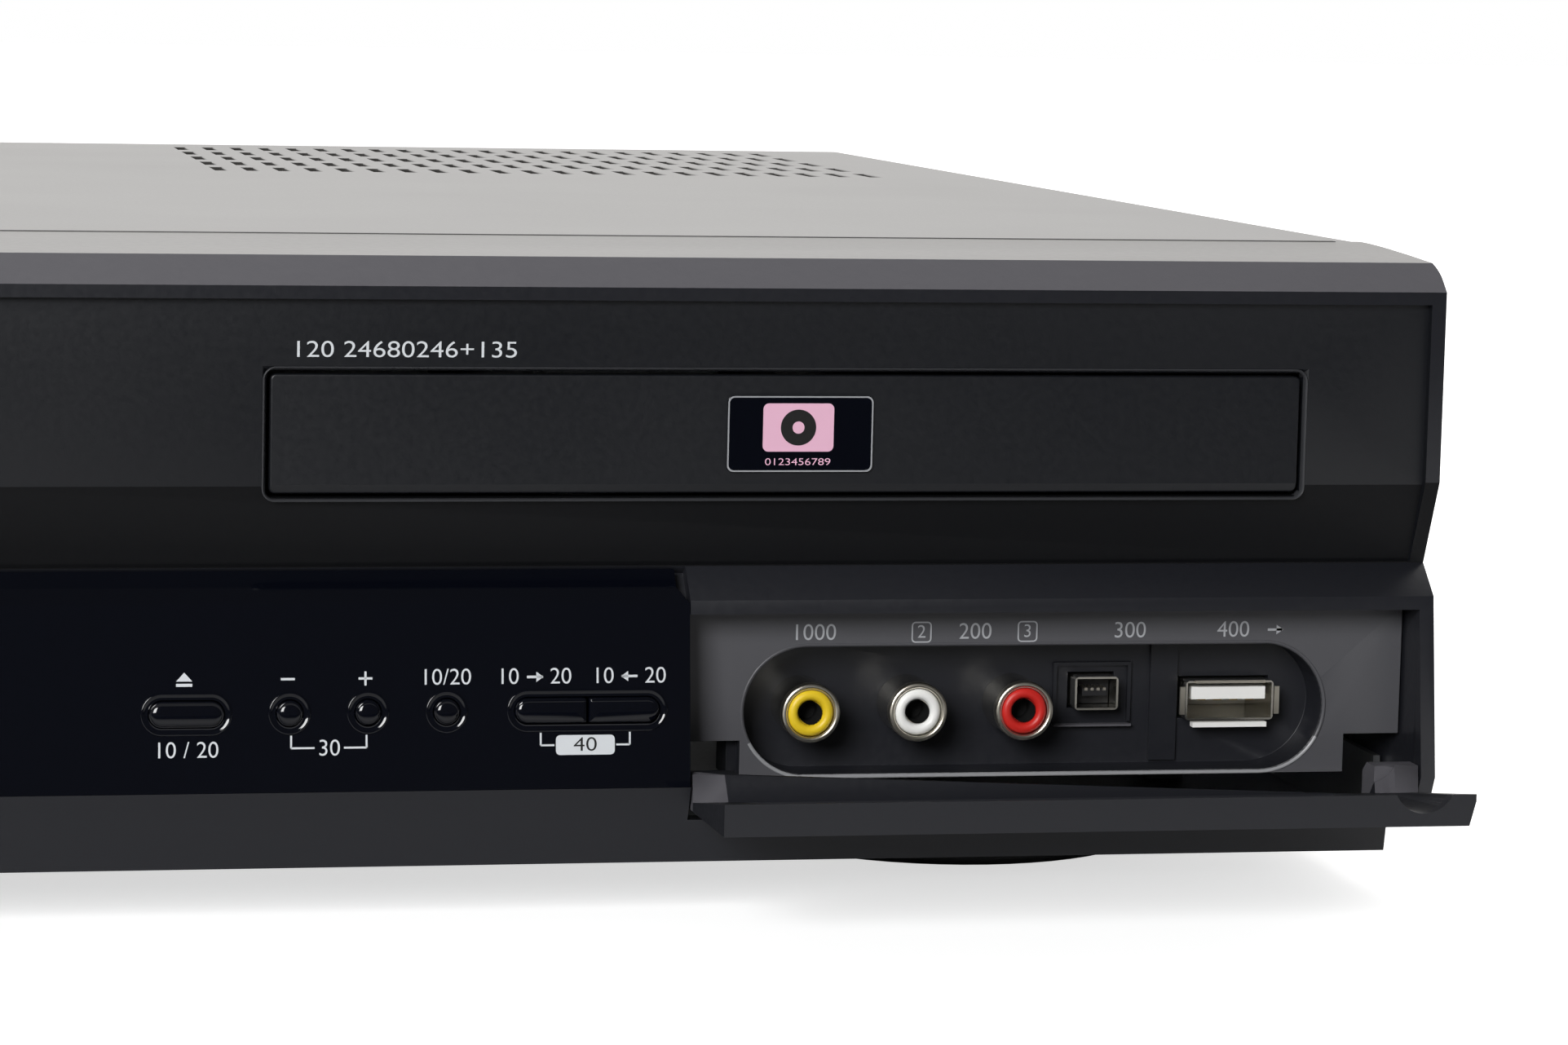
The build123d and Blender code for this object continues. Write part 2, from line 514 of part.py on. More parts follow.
def jack_door():
    """Fold-down door, here open: tapered plate, pocketed inside, hung on two arms."""
    free = HINGE_Y - DOOR_LENGTH
    tail = HINGE_Y + HINGE_TAIL
    left, right = BAY_LEFT + GAP, INSIDE - GAP
    side = [(free, DOOR_UNDER_FREE), (tail, DOOR_UNDER_HINGE), (tail, HINGE_Z + 1.6),
            (HINGE_Y, DOOR_TOP), (free, DOOR_TOP)]
    door = along_x(side, left, right)
    # Between its arms the plate stops short of the plinth.
    door -= block(left + DOOR_ARM, right - DOOR_ARM, HINGE_Y - 3.0, tail + THROUGH,
                  DOOR_UNDER_HINGE - THROUGH, DOOR_TOP + THROUGH)
    door -= block(left + DOOR_ARM, SCOOP_X - SCOOP_HALF - DOOR_RIM, free + DOOR_RIM,
                  HINGE_Y - 3.0 - DOOR_RIM, DOOR_TOP - DOOR_POCKET, DOOR_TOP + THROUGH)
    # Round channel beside the right end.
    radius = (SCOOP_HALF ** 2 + SCOOP_DEEP ** 2) / (2 * SCOOP_DEEP)
    door -= sketch_y(Circle(radius), SCOOP_X, DOOR_TOP - SCOOP_DEEP + radius,
                     free - THROUGH, HINGE_Y - 3.0)
    slant = 1.4
    end = [(right - slant, DOOR_UNDER_HINGE - THROUGH), (right + THROUGH, DOOR_UNDER_HINGE
           - THROUGH), (right + THROUGH, DOOR_TOP - 1.0), (right, DOOR_TOP - 1.0)]
    door -= along_y(end, free - THROUGH, HINGE_Y - 4.0)
    for x0, x1 in ((left - HINGE_PIN_LONG, left + 1.0), (right - 1.0, right + HINGE_PIN_LONG)):
        door += sketch_x(Circle(HINGE_PIN), HINGE_Y, HINGE_Z, x0, x1)
    return door


# --- tray and disc drive ------------------------------------------------------------------
TRAY_FRONT = FASCIA_SUNK + TRAY_DOOR_SUNK + TRAY_DOOR_THICK
GEAR_RADIUS = GEAR_TEETH * MODULE / 2
GEAR_X = RACK_X + GEAR_RADIUS
PITCH = math.pi * MODULE


def tray_door():
    """Front of the tray; its lowest strip follows the crease of the fascia."""
    face = FASCIA_SUNK + TRAY_DOOR_SUNK
    side = [(face, TRAY_DOOR_TOP), (face, CREASE + 0.2), (face + 0.5, TRAY_DOOR_LOW),
            (TRAY_FRONT, TRAY_DOOR_LOW), (TRAY_FRONT, TRAY_DOOR_TOP)]
    door = along_x(side, TRAY_X - TRAY_DOOR_WIDE / 2, TRAY_X + TRAY_DOOR_WIDE / 2)
    upright = door.edges().filter_by(Axis.Y)
    return fillet(upright, 0.8)


def badge_plate():
    """Thin plate with round corners on the tray door."""
    face = FASCIA_SUNK + TRAY_DOOR_SUNK
    return sketch_y(RectangleRounded(BADGE_LONG, BADGE_HIGH, 0.8), BADGE_X, BADGE_Z,
                    face - BADGE_THICK, face)


def rack_teeth():
    """Straight-sided rack teeth that point to +X, set so that a gap faces the gear's tooth."""
    half = PITCH / 4 - BACKLASH / 4
    lean = math.tan(PRESSURE)
    tip, root = RACK_X + MODULE, RACK_X - 1.25 * MODULE
    tip_half, root_half = half - MODULE * lean, half + 1.25 * MODULE * lean
    back = root - 2.4
    count_back = int((GEAR_Y - TRAY_FRONT - 6.0) / PITCH)
    count_on = int((TRAY_LENGTH - GEAR_Y) / PITCH)
    first = GEAR_Y - (count_back - 0.5) * PITCH
    outline = [(back, first - PITCH / 2)]
    for n in range(count_back + count_on):
        y = first + n * PITCH
        outline += [(root, y - root_half), (tip, y - tip_half), (tip, y + tip_half),
                    (root, y + root_half)]
    outline.append((back, first + (count_back + count_on - 0.5) * PITCH))
    return along_z(outline, TRAY_LOW - RACK_HIGH, TRAY_LOW)


def disc_tray():
    """Sliding tray with the round beds for both disc sizes, its rails and its rack."""
    tray = block(TRAY_X - TRAY_HALF, TRAY_X + TRAY_HALF, TRAY_FRONT, TRAY_LENGTH, TRAY_LOW,
                 TRAY_HIGH)
    tray += block(TRAY_X - TRAY_HALF, TRAY_X + TRAY_HALF, TRAY_FRONT, TRAY_FRONT + 2.0,
                  TRAY_DOOR_LOW + 2.0, TRAY_DOOR_TOP - 2.0)
    tray += block(TRAY_X - TRAY_HALF - TRAY_LEDGE, TRAY_X + TRAY_HALF + TRAY_LEDGE,
                  TRAY_FRONT + 2.0, TRAY_LENGTH, TRAY_LOW, TRAY_LOW + 2.0)
    tray -= sketch_z(Circle(DISC_RADIUS), TRAY_X, DISC_Y, TRAY_HIGH - DISC_DEEP,
                     TRAY_HIGH + THROUGH)
    small = DISC_DEEP + SMALL_DISC_DEEP
    tray -= sketch_z(Circle(SMALL_DISC_RADIUS), TRAY_X, DISC_Y, TRAY_HIGH - small,
                     TRAY_HIGH + THROUGH)
    slot_long = DISC_RADIUS + TRAY_SLOT_HALF
    tray -= sketch_z(Rot(0, 0, 90) * SlotOverall(slot_long, 2 * TRAY_SLOT_HALF), TRAY_X,
                     DISC_Y - TRAY_SLOT_HALF + slot_long / 2, TRAY_LOW - THROUGH, TRAY_HIGH)
    return tray + rack_teeth()


def involute(angle):
    """Roll of an involute at a pressure angle."""
    return math.tan(angle) - angle


def gear_outline(teeth, first):
    """Involute teeth around a pitch circle, the first one centred on the angle first."""
    pitch = teeth * MODULE / 2
    base, tip, root = pitch * math.cos(PRESSURE), pitch + MODULE, pitch - 1.25 * MODULE
    half = math.pi / (2 * teeth) - BACKLASH / (4 * pitch) + involute(PRESSURE)
    flank = [(root, half)]
    for radius in (base, pitch, tip):
        flank.append((radius, half - involute(math.acos(base / radius))))
    points = []
    for n in range(teeth):
        middle = first + n * 2 * math.pi / teeth
        points += [(radius, middle - spread) for radius, spread in flank]
        points += [(radius, middle + spread) for radius, spread in reversed(flank)]
    return [(radius * math.cos(angle), radius * math.sin(angle)) for radius, angle in points]


def tray_gear():
    """Pinion that drives the rack, bored for its post."""
    outline = [(GEAR_X + x, GEAR_Y + y) for x, y in gear_outline(GEAR_TEETH, math.pi)]
    gear = along_z(outline, TRAY_LOW - RACK_HIGH + 0.2, TRAY_LOW - GAP)
    return gear - sketch_z(Circle(GEAR_SHAFT + RUN), GEAR_X, GEAR_Y, DRIVE_FLOOR, TRAY_LOW)


def drive_chassis():
    """Open frame with runners for the tray, rod brackets, gear post and four legs."""
    left, right = TRAY_X - DRIVE_HALF, TRAY_X + DRIVE_HALF
    floor_top = DRIVE_FLOOR + DRIVE_WALL
    frame = block(left, right, DRIVE_FRONT, DRIVE_REAR, DRIVE_FLOOR, floor_top)
    frame -= block(TRAY_X - 20, TRAY_X + 20, DISC_Y + 16, ROD_REAR - 6, DRIVE_FLOOR - THROUGH,
                   floor_top + THROUGH)
    rail_half = TRAY_HALF + TRAY_LEDGE
    for side in (-1, 1):
        outer = TRAY_X + side * DRIVE_HALF
        x0, x1 = sorted((outer, outer - side * DRIVE_WALL))
        frame += block(x0, x1, DRIVE_FRONT, DRIVE_REAR, DRIVE_FLOOR, DRIVE_TOP)
        # Lower and upper runner of the tray's rail.
        x0, x1 = sorted((outer, TRAY_X + side * (rail_half - 1.5)))
        frame += block(x0, x1, DRIVE_FRONT, DRIVE_REAR, TRAY_LOW - 2.0 - GAP, TRAY_LOW - GAP)
        frame += block(x0, x1, DRIVE_FRONT + 20, DRIVE_REAR, TRAY_LOW + 2.0 + GAP,
                       TRAY_LOW + 3.6)
        x0, x1 = sorted((outer, outer - side * 6.0))
        for y in (52.0, 176.0):
            frame += block(x0, x1, y, y + 8.0, SHEET, DRIVE_FLOOR)
        for y in (ROD_FRONT, ROD_REAR):
            x = TRAY_X + side * ROD_HALF
            post = block(x - 3.5, x + 3.5, y - 3.0, y, floor_top, ROD_Z + 3.5)
            frame += post
    frame += sketch_z(Circle(GEAR_SHAFT), GEAR_X, GEAR_Y, floor_top, TRAY_LOW - GAP)
    # Boss of the spindle motor.
    frame += block(TRAY_X - TABLE_RADIUS, TRAY_X + TABLE_RADIUS, DISC_Y - TABLE_RADIUS,
                   DISC_Y + TABLE_RADIUS, floor_top, floor_top + 3.0)
    return frame


def guide_rods():
    """Two ground rods that the pickup slides on, between the brackets."""
    return [sketch_y(Circle(ROD_RADIUS), TRAY_X + side * ROD_HALF, ROD_Z, ROD_FRONT,
                     ROD_REAR - 3.0) for side in (-1, 1)]


def pickup_sled():
    """Laser pickup: a body between the rods with a bearing eye on each side."""
    y0 = DISC_Y + 18.0
    body = block(TRAY_X - 19, TRAY_X + 19, y0, y0 + PICKUP_LONG, ROD_Z - 2.5, ROD_Z + 3.0)
    for side in (-1, 1):
        x0, x1 = sorted((TRAY_X + side * 18, TRAY_X + side * (ROD_HALF + 3.2)))
        body += block(x0, x1, y0 + 6, y0 + PICKUP_LONG - 6, ROD_Z - 2.5, ROD_Z + 2.5)
        body -= sketch_y(Circle(ROD_RADIUS + RUN), TRAY_X + side * ROD_HALF, ROD_Z, y0,
                         y0 + PICKUP_LONG)
    return body


def turntable():
    """Spindle motor's hub: the plate and the boss that centres a disc."""
    low = DRIVE_FLOOR + DRIVE_WALL + 3.3
    hub = sketch_z(Circle(TABLE_RADIUS), TRAY_X, DISC_Y, low, TABLE_TOP - 3.0)
    return hub + sketch_z(Circle(HUB_RADIUS), TRAY_X, DISC_Y, TABLE_TOP - 3.0, TABLE_TOP)


def clamp_bridge():
    """Bar over the tray, on the frame's walls, with the hole that holds the clamp."""
    left, right = TRAY_X - DRIVE_HALF, TRAY_X + DRIVE_HALF
    bar = block(left, right, DISC_Y - BRIDGE_LONG / 2, DISC_Y + BRIDGE_LONG / 2, DRIVE_TOP,
                DRIVE_TOP + 1.6)
    return bar - sketch_z(Circle(CLAMP_RADIUS + 1.0), TRAY_X, DISC_Y, DRIVE_TOP - THROUGH,
                          DRIVE_TOP + 1.6 + THROUGH)


def clamp_disc():
    """Loose magnetic clamp that hangs in the bridge by its flange."""
    top = DRIVE_TOP + 1.6
    disc = sketch_z(Circle(CLAMP_RADIUS), TRAY_X, DISC_Y, CLAMP_LOW, top + GAP)
    return disc + sketch_z(Circle(CLAMP_FLANGE), TRAY_X, DISC_Y, top + GAP, top + GAP + 1.5)


# --- cassette flap and tape deck ----------------------------------------------------------
def cassette_flap():
    """Flap that follows the two facets of the fascia, with a pin at each upper corner."""
    face = FASCIA_SUNK + 0.2
    low_back = face + (VALLEY_BACK + 0.7 - FASCIA_SUNK) * (CREASE - FLAP_LOW) / (CREASE - VALLEY)
    side = [(face, FLAP_TOP), (face, CREASE), (low_back, FLAP_LOW),
            (low_back + FLAP_THICK, FLAP_LOW), (face + FLAP_THICK, CREASE + 0.8),
            (face + FLAP_THICK, FLAP_TOP)]
    left, right = FLAP_X - FLAP_WIDE / 2, FLAP_X + FLAP_WIDE / 2
    flap = along_x(side, left, right)
    for x0, x1, pin0, pin1 in ((left, left + 3, left - 2.6, left), (right - 3, right, right,
                               right + 2.6)):
        flap += block(x0, x1, face + 1, FLAP_PIVOT_Y + 2.0, FLAP_PIVOT_Z - 2.6, FLAP_TOP - 0.2)
        flap += sketch_x(Circle(FLAP_PIN), FLAP_PIVOT_Y, FLAP_PIVOT_Z, pin0, pin1)
    return flap


def deck_chassis():
    """Steel deck plate with side rails and legs; it carries the tape transport."""
    left, right = FLAP_X - DECK_HALF, FLAP_X + DECK_HALF
    deck = block(left, right, DECK_FRONT, DECK_REAR, DECK_FLOOR, DECK_FLOOR + 2.0)
    for x0, x1 in ((left, left + 1.2), (right - 1.2, right)):
        deck += block(x0, x1, DECK_FRONT, DECK_REAR - 60, DECK_FLOOR, DECK_TOP)
        for y in (DECK_FRONT + 6, DECK_REAR - 16):
            foot0, foot1 = sorted((x0, x0 + (8 if x0 < FLAP_X else -6.8)))
            deck += block(foot0, foot1, y, y + 8, SHEET, DECK_FLOOR)
    # Threading guides beside the drum.
    for side in (-1, 1):
        deck += sketch_z(Circle(2.2), FLAP_X + side * 36.0, DRUM_Y - 6.0, DECK_FLOOR + 2.0, DECK_FLOOR + 24.0)
    deck -= sketch_z(Circle(CAPSTAN_RADIUS + RUN), CAPSTAN_X, CAPSTAN_Y, DECK_FLOOR - THROUGH,
                     DECK_FLOOR + 2.0 + THROUGH)
    return deck + sketch_z(Circle(2.0), PINCH_X, PINCH_Y, DECK_FLOOR + 2.0, DECK_FLOOR + 12.0)


def holder_carrier():
    """Frame that runs back over the deck: two slotted side plates joined over the top."""
    rear = CARRIER_FRONT + CARRIER_LONG
    top = DECK_TOP + 2.4
    carrier = None
    for side in (-1, 1):
        inner = FLAP_X + side * (HOLDER_HALF + 1.6)
        x0, x1 = sorted((inner, inner + side * 1.5))
        plate = block(x0, x1, CARRIER_FRONT, rear, HOLDER_LOW - HOLDER_DROP + 4, top)
        for y in (CARRIER_FRONT + CARRIER_LONG / 2,):
            # The holder's pin rides up and down in this slot.
            slot = Rectangle(HOLDER_DROP + 2 * HOLDER_PIN + 1.0, 2 * HOLDER_PIN + 0.4)
            middle = HOLDER_TOP - 8.0 - HOLDER_DROP / 2
            plate -= sketch_x(Rot(0, 0, 90) * slot, y, middle, x0 - THROUGH, x1 + THROUGH)
        outer = FLAP_X + side * (DECK_HALF + 0.2)
        x0, x1 = sorted((inner, outer))
        plate += block(x0, x1, CARRIER_FRONT, rear, DECK_TOP + GAP, top)
        carrier = plate if carrier is None else carrier + plate
    return carrier + block(FLAP_X - HOLDER_HALF - 1.6, FLAP_X + HOLDER_HALF + 1.6, rear - 8,
                           rear, DECK_TOP + GAP, top)


def cassette_holder():
    """Sheet cradle for the cassette: side ledges, side walls and a bar across the front."""
    rear = HOLDER_FRONT + HOLDER_LONG
    holder = None
    for side in (-1, 1):
        edge = FLAP_X + side * HOLDER_HALF
        x0, x1 = sorted((edge, edge - side * SHEET))
        wall = block(x0, x1, HOLDER_FRONT, rear, HOLDER_LOW, HOLDER_TOP)
        x0, x1 = sorted((edge, edge - side * HOLDER_LEDGE))
        wall += block(x0, x1, HOLDER_FRONT, rear, HOLDER_LOW, HOLDER_LOW + SHEET)
        x0, x1 = sorted((edge, edge - side * 12.0))
        wall += block(x0, x1, HOLDER_FRONT + 20, rear, HOLDER_TOP - SHEET, HOLDER_TOP)
        x0, x1 = sorted((edge, edge + side * 3.0))
        wall += sketch_x(Circle(HOLDER_PIN), CARRIER_FRONT + CARRIER_LONG / 2,
                         HOLDER_TOP - 8.0, x0, x1)
        holder = wall if holder is None else holder + wall
    left, right = FLAP_X - HOLDER_HALF, FLAP_X + HOLDER_HALF
    holder += block(left, right, HOLDER_FRONT, HOLDER_FRONT + 8, HOLDER_LOW, HOLDER_LOW + SHEET)
    return holder + block(left, right, rear - 10, rear, HOLDER_TOP - SHEET, HOLDER_TOP)


def drum_base():
    """Fixed lower half of the drum with the shaft that the upper half spins on."""
    low = DECK_FLOOR + 2.0
    base = sketch_z(Circle(DRUM_RADIUS), FLAP_X, DRUM_Y, low, low + 14.0)
    return base + sketch_z(Circle(DRUM_SHAFT), FLAP_X, DRUM_Y, low + 14.0, low + 36.0)


def head_drum():
    """Spinning upper half of the drum."""
    low = DECK_FLOOR + 16.0 + 0.3
    drum = sketch_z(Circle(DRUM_RADIUS), FLAP_X, DRUM_Y, low, low + 13.0)
    return drum - sketch_z(Circle(DRUM_SHAFT + RUN), FLAP_X, DRUM_Y, low, low + 13.0)


def reel(x):
    """Reel table with three drive ribs on its six-sided spindle."""
    low = DECK_FLOOR + 2.0 + GAP
    table = sketch_z(Circle(REEL_RADIUS), x, REEL_Y, low, low + 3.0)
    table += sketch_z(RegularPolygon(5.5, 6), x, REEL_Y, low + 3.0, low + 12.0)
    for turn in range(3):
        table += Pos(x, REEL_Y, 0) * Rot(0, 0, 120 * turn) * block(
            0, 7.6, -0.8, 0.8, low + 3.0, low + 9.0)
    return table


def capstan():
    """Capstan shaft with its flywheel under the deck plate."""
    shaft = sketch_z(Circle(CAPSTAN_RADIUS), CAPSTAN_X, CAPSTAN_Y, DECK_FLOOR - GAP,
                     DECK_FLOOR + 32.0)
    return shaft + sketch_z(Circle(FLYWHEEL), CAPSTAN_X, CAPSTAN_Y, DECK_FLOOR - 7.0,
                            DECK_FLOOR - GAP)


def pinch_arm():
    """Lever with the rubber roller that presses the tape to the capstan."""
    low = DECK_FLOOR + 8.0
    reach = CAPSTAN_RADIUS + ROLLER_RADIUS + 3.0
    roller_x, roller_y = CAPSTAN_X + reach * 0.8, CAPSTAN_Y - reach * 0.6
    turn = math.degrees(math.atan2(roller_y - PINCH_Y, roller_x - PINCH_X))
    length = math.hypot(roller_x - PINCH_X, roller_y - PINCH_Y)
    lever = Pos(PINCH_X, PINCH_Y) * Rot(0, 0, turn) * Pos(length / 2, 0) * Rectangle(
        length + 9.0, 9.0)
    arm = sketch_z(lever, 0, 0, low, low + 2.0)
    arm -= sketch_z(Circle(2.0 + RUN), PINCH_X, PINCH_Y, low - THROUGH, low + 2.0 + THROUGH)
    return arm + sketch_z(Circle(ROLLER_RADIUS), roller_x, roller_y, low + 2.0, low + 18.0)


# --- steel case ---------------------------------------------------------------------------
def top_cover():
    """Bent sheet over the top and both sides, with the vent field and a lip at the rear."""
    front = PANEL_DEPTH + GAP
    outer = block(-COVER_HALF, COVER_HALF, front, DEPTH, COVER_LOW, BODY_HEIGHT)
    bends = outer.edges().filter_by(Axis.Y).group_by(Axis.Z)[-1]
    outer = fillet(bends, COVER_BEND)
    inner = block(SHEET - COVER_HALF, COVER_HALF - SHEET, front - THROUGH, DEPTH + THROUGH,
                  COVER_LOW - THROUGH, BODY_HEIGHT - SHEET)
    bends = inner.edges().filter_by(Axis.Y).group_by(Axis.Z)[-1]
    cover = outer - fillet(bends, COVER_BEND - SHEET)
    cover += block(COVER_BEND - COVER_HALF, COVER_HALF - COVER_BEND, DEPTH - SHEET, DEPTH,
                   BODY_HEIGHT - COVER_LIP, BODY_HEIGHT - SHEET)
    grid = GridLocations(VENT_PITCH_X, VENT_PITCH_Y, VENT_COLUMNS, VENT_ROWS)
    slots = Sketch() + [place * Rectangle(VENT_WIDTH, VENT_LENGTH) for place in grid]
    return cover - sketch_z(slots, VENT_X, VENT_Y, BODY_HEIGHT - 2 * SHEET,
                            BODY_HEIGHT + THROUGH)


MAIN_LEFT, MAIN_RIGHT = PAN_HALF - 203.0, PAN_HALF - 9.0
MAIN_FRONT = REAR_FACE - 144.9
POWER_LEFT, POWER_RIGHT = 11.0 - PAN_HALF, 151.0 - PAN_HALF
POWER_FRONT, POWER_REAR = REAR_FACE - 76.9, REAR_FACE - 16.9
BOARD_POSTS = [(MAIN_LEFT + 6, MAIN_FRONT + 6), (MAIN_RIGHT - 6, MAIN_FRONT + 6),
               (MAIN_LEFT + 6, MAIN_FRONT + 68), (MAIN_RIGHT - 6, REAR_FACE - 22.9),
               (POWER_LEFT + 6, POWER_FRONT + 8), (POWER_RIGHT - 8, POWER_FRONT + 8),
               (POWER_RIGHT - 8, POWER_REAR - 6)]


def base_chassis():
    """Steel pan with a turned-up rim and stand-offs for the boards."""
    front, rear = PLINTH_DEPTH + GAP, REAR_FACE - SHEET
    pan = block(-PAN_HALF, PAN_HALF, front, rear, 0, PAN_RIM)
    pan -= block(SHEET - PAN_HALF, PAN_HALF - SHEET, front + SHEET, rear - SHEET, SHEET,
                 PAN_RIM + THROUGH)
    # The front rim is low, so that the jack bay stays free.
    pan -= block(SHEET - PAN_HALF, PAN_HALF - SHEET, front - THROUGH, front + 2 * SHEET,
                 PLINTH_LOW + PANEL_SKIN + 1.0, PAN_RIM + THROUGH)
    for x, y in BOARD_POSTS:
        pan += block(x - POST_RADIUS, x + POST_RADIUS, y - POST_RADIUS, y + POST_RADIUS, SHEET,
                     SHEET + POST_HEIGHT)
    return pan


def rear_openings():
    """Everything that is cut out of the rear panel, as sketches in X-Z."""
    cuts = [Pos(SCART_X, SCART_LOW_Z + n * SCART_PITCH) * Rectangle(SCART_LONG + 0.6,
            SCART_HIGH + 0.6) for n in range(2)]
    cuts.append(Pos(INLET_X, INLET_Z) * Rectangle(INLET_LONG + 0.6, INLET_HIGH + 0.6))
    cuts.append(Pos(BLOCK_X, BLOCK_Z) * Rectangle(BLOCK_COLUMNS * BLOCK_PITCH - 2,
                BLOCK_ROWS * BLOCK_PITCH - 2))
    for n in range(2):
        cuts.append(Pos(TUNER_X, AERIAL_LOW_Z + n * AERIAL_PITCH) * Circle(AERIAL_RADIUS + 0.4))
    slots = GridLocations(REAR_SLOT_PITCH, 1, REAR_SLOTS, 1)
    cuts += [Pos(REAR_SLOT_X, REAR_SLOT_Z) * place * Rectangle(REAR_SLOT_WIDE, REAR_SLOT_HIGH)
             for place in slots]
    return Sketch() + cuts


def rear_panel():
    """Flat steel plate with the socket cut-outs and a row of vent slots."""
    top = BODY_HEIGHT - SHEET - GAP
    plate = block(-PAN_HALF, PAN_HALF, REAR_FACE - SHEET, REAR_FACE, 0, top)
    for side in (-1, 1):
        # The upper corners clear the cover's bends.
        x = side * PAN_HALF
        cut = [(x, top), (x - side * 3.0, top), (x, top - 3.0)]
        plate -= along_y(cut, REAR_FACE - 2 * SHEET, REAR_FACE + SHEET)
    return plate - sketch_y(rear_openings(), 0, 0, REAR_FACE - 2 * SHEET, REAR_FACE + SHEET)


def feet():
    """Four wide round feet."""
    made = []
    for x in (-FOOT_X, FOOT_X):
        for y in (FOOT_FRONT_Y, FOOT_REAR_Y):
            made.append(sketch_z(Circle(FOOT_RADIUS), x, y, PAD_HEIGHT - FOOT_HEIGHT, 0))
    return made


def foot_pads():
    """Rubber discs under the feet."""
    bottom = -FOOT_HEIGHT
    return [sketch_z(Circle(PAD_RADIUS), x, y, bottom, bottom + PAD_HEIGHT)
            for x in (-FOOT_X, FOOT_X) for y in (FOOT_FRONT_Y, FOOT_REAR_Y)]


def case_screws():
    """Hexagon-head screws: two on each side of the cover and three on its rear lip."""
    made = []
    for side in (-1, 1):
        for y in (70.0, DEPTH - 30.0):
            x0, x1 = sorted((side * COVER_HALF, side * (COVER_HALF + SCREW_HIGH - 0.2)))
            made.append(sketch_x(RegularPolygon(SCREW_HEAD, 6), y, COVER_LOW + 12.0, x0, x1))
    for x in (33.7 - COVER_HALF, 0.0, COVER_HALF - 33.7):
        made.append(sketch_y(RegularPolygon(SCREW_HEAD, 6), x, BODY_HEIGHT - COVER_LIP / 2 - 0.5,
                             DEPTH, DEPTH + SCREW_HIGH))
    return made


# --- rear sockets and boards --------------------------------------------------------------
def scart_sockets():
    """Two flat multi-pole sockets with one slanted corner and a contact block inside."""
    made = []
    for n in range(2):
        z, half, high = SCART_LOW_Z + n * SCART_PITCH, SCART_LONG / 2, SCART_HIGH / 2
        outline = [(SCART_X - half, z - high), (SCART_X + half, z - high),
                   (SCART_X + half, z + high - 6), (SCART_X + half - 5, z + high),
                   (SCART_X - half, z + high)]
        socket = along_y(outline, REAR_FACE - 14.0, DEPTH + 1.0)
        inner = [(SCART_X - half + 1.6, z - high + 1.6), (SCART_X + half - 1.6, z - high + 1.6),
                 (SCART_X + half - 1.6, z + high - 6.6), (SCART_X + half - 5.7, z + high - 1.6),
                 (SCART_X - half + 1.6, z + high - 1.6)]
        socket -= along_y(inner, REAR_FACE - 9.0, DEPTH + 1.0 + THROUGH)
        socket += block(SCART_X - half + 5, SCART_X + half - 7, REAR_FACE - 9.0, DEPTH - 0.5,
                        z - 2.6, z + 2.6)
        made.append(socket)
    return made


def rear_jack_block():
    """Moulded block that carries the rear phono barrels, standing on the main board."""
    wide, high = BLOCK_COLUMNS * BLOCK_PITCH - 3, BLOCK_ROWS * BLOCK_PITCH - 3
    body = block(BLOCK_X - wide / 2, BLOCK_X + wide / 2, REAR_FACE - 14, REAR_FACE + 0.6,
                 BLOCK_Z - high / 2, BLOCK_Z + high / 2)
    return body + block(BLOCK_X - wide / 2, BLOCK_X + wide / 2, REAR_FACE - 14, REAR_FACE - 8,
                        SHEET + POST_HEIGHT + BOARD, BLOCK_Z - high / 2)


def rear_jack_places():
    """Centres of the rear phono barrels."""
    grid = GridLocations(BLOCK_PITCH, BLOCK_PITCH, BLOCK_COLUMNS, BLOCK_ROWS)
    return [(BLOCK_X + place.position.X, BLOCK_Z + place.position.Y) for place in grid]


def rear_jack_shells():
    """Plated barrels, each with its blind pin hole, on the rear block."""
    made = []
    for x, z in rear_jack_places():
        barrel = sketch_y(Circle(JACK_RADIUS), x, z, REAR_FACE + 0.6, DEPTH + REAR_REACH)
        made.append(barrel - sketch_y(Circle(PIN_HOLE), x, z, REAR_FACE + 1.6,
                                      DEPTH + REAR_REACH + THROUGH))
    return made


def tuner_module():
    """Screened tuner can with two aerial sockets through the rear panel."""
    low = SHEET + POST_HEIGHT + BOARD
    rear = REAR_FACE - 2 * SHEET - GAP / 3
    can = block(TUNER_X - TUNER_WIDE / 2, TUNER_X + TUNER_WIDE / 2, REAR_FACE - 60,
                rear, low, AERIAL_LOW_Z + AERIAL_PITCH + 12)
    for n in range(2):
        z = AERIAL_LOW_Z + n * AERIAL_PITCH
        can += sketch_y(Circle(AERIAL_RADIUS), TUNER_X, z, rear, DEPTH + 5.0)
        can -= sketch_y(Circle(AERIAL_BORE), TUNER_X, z, REAR_FACE - 4.0, DEPTH + 5.0 + THROUGH)
    return can


def power_inlet():
    """Two-pole mains inlet: a recess in the shape of an eight with two pins."""
    body = block(INLET_X - INLET_LONG / 2, INLET_X + INLET_LONG / 2, REAR_FACE - 16,
                 REAR_FACE + 0.8, INLET_Z - INLET_HIGH / 2, INLET_Z + INLET_HIGH / 2)
    mouth = (Pos(-3.4, 0) * Circle(4.3)) + (Pos(3.4, 0) * Circle(4.3))
    body -= sketch_y(mouth, INLET_X, INLET_Z, REAR_FACE - 12, REAR_FACE + 0.8 + THROUGH)
    for x in (-4.3, 4.3):
        body += sketch_y(Rectangle(2.0, 2.0), INLET_X + x, INLET_Z, REAR_FACE - 12,
                         REAR_FACE - 1.0)
    return body + block(INLET_X - INLET_LONG / 2, INLET_X + INLET_LONG / 2, REAR_FACE - 16,
                        REAR_FACE - 10, SHEET, INLET_Z - INLET_HIGH / 2)


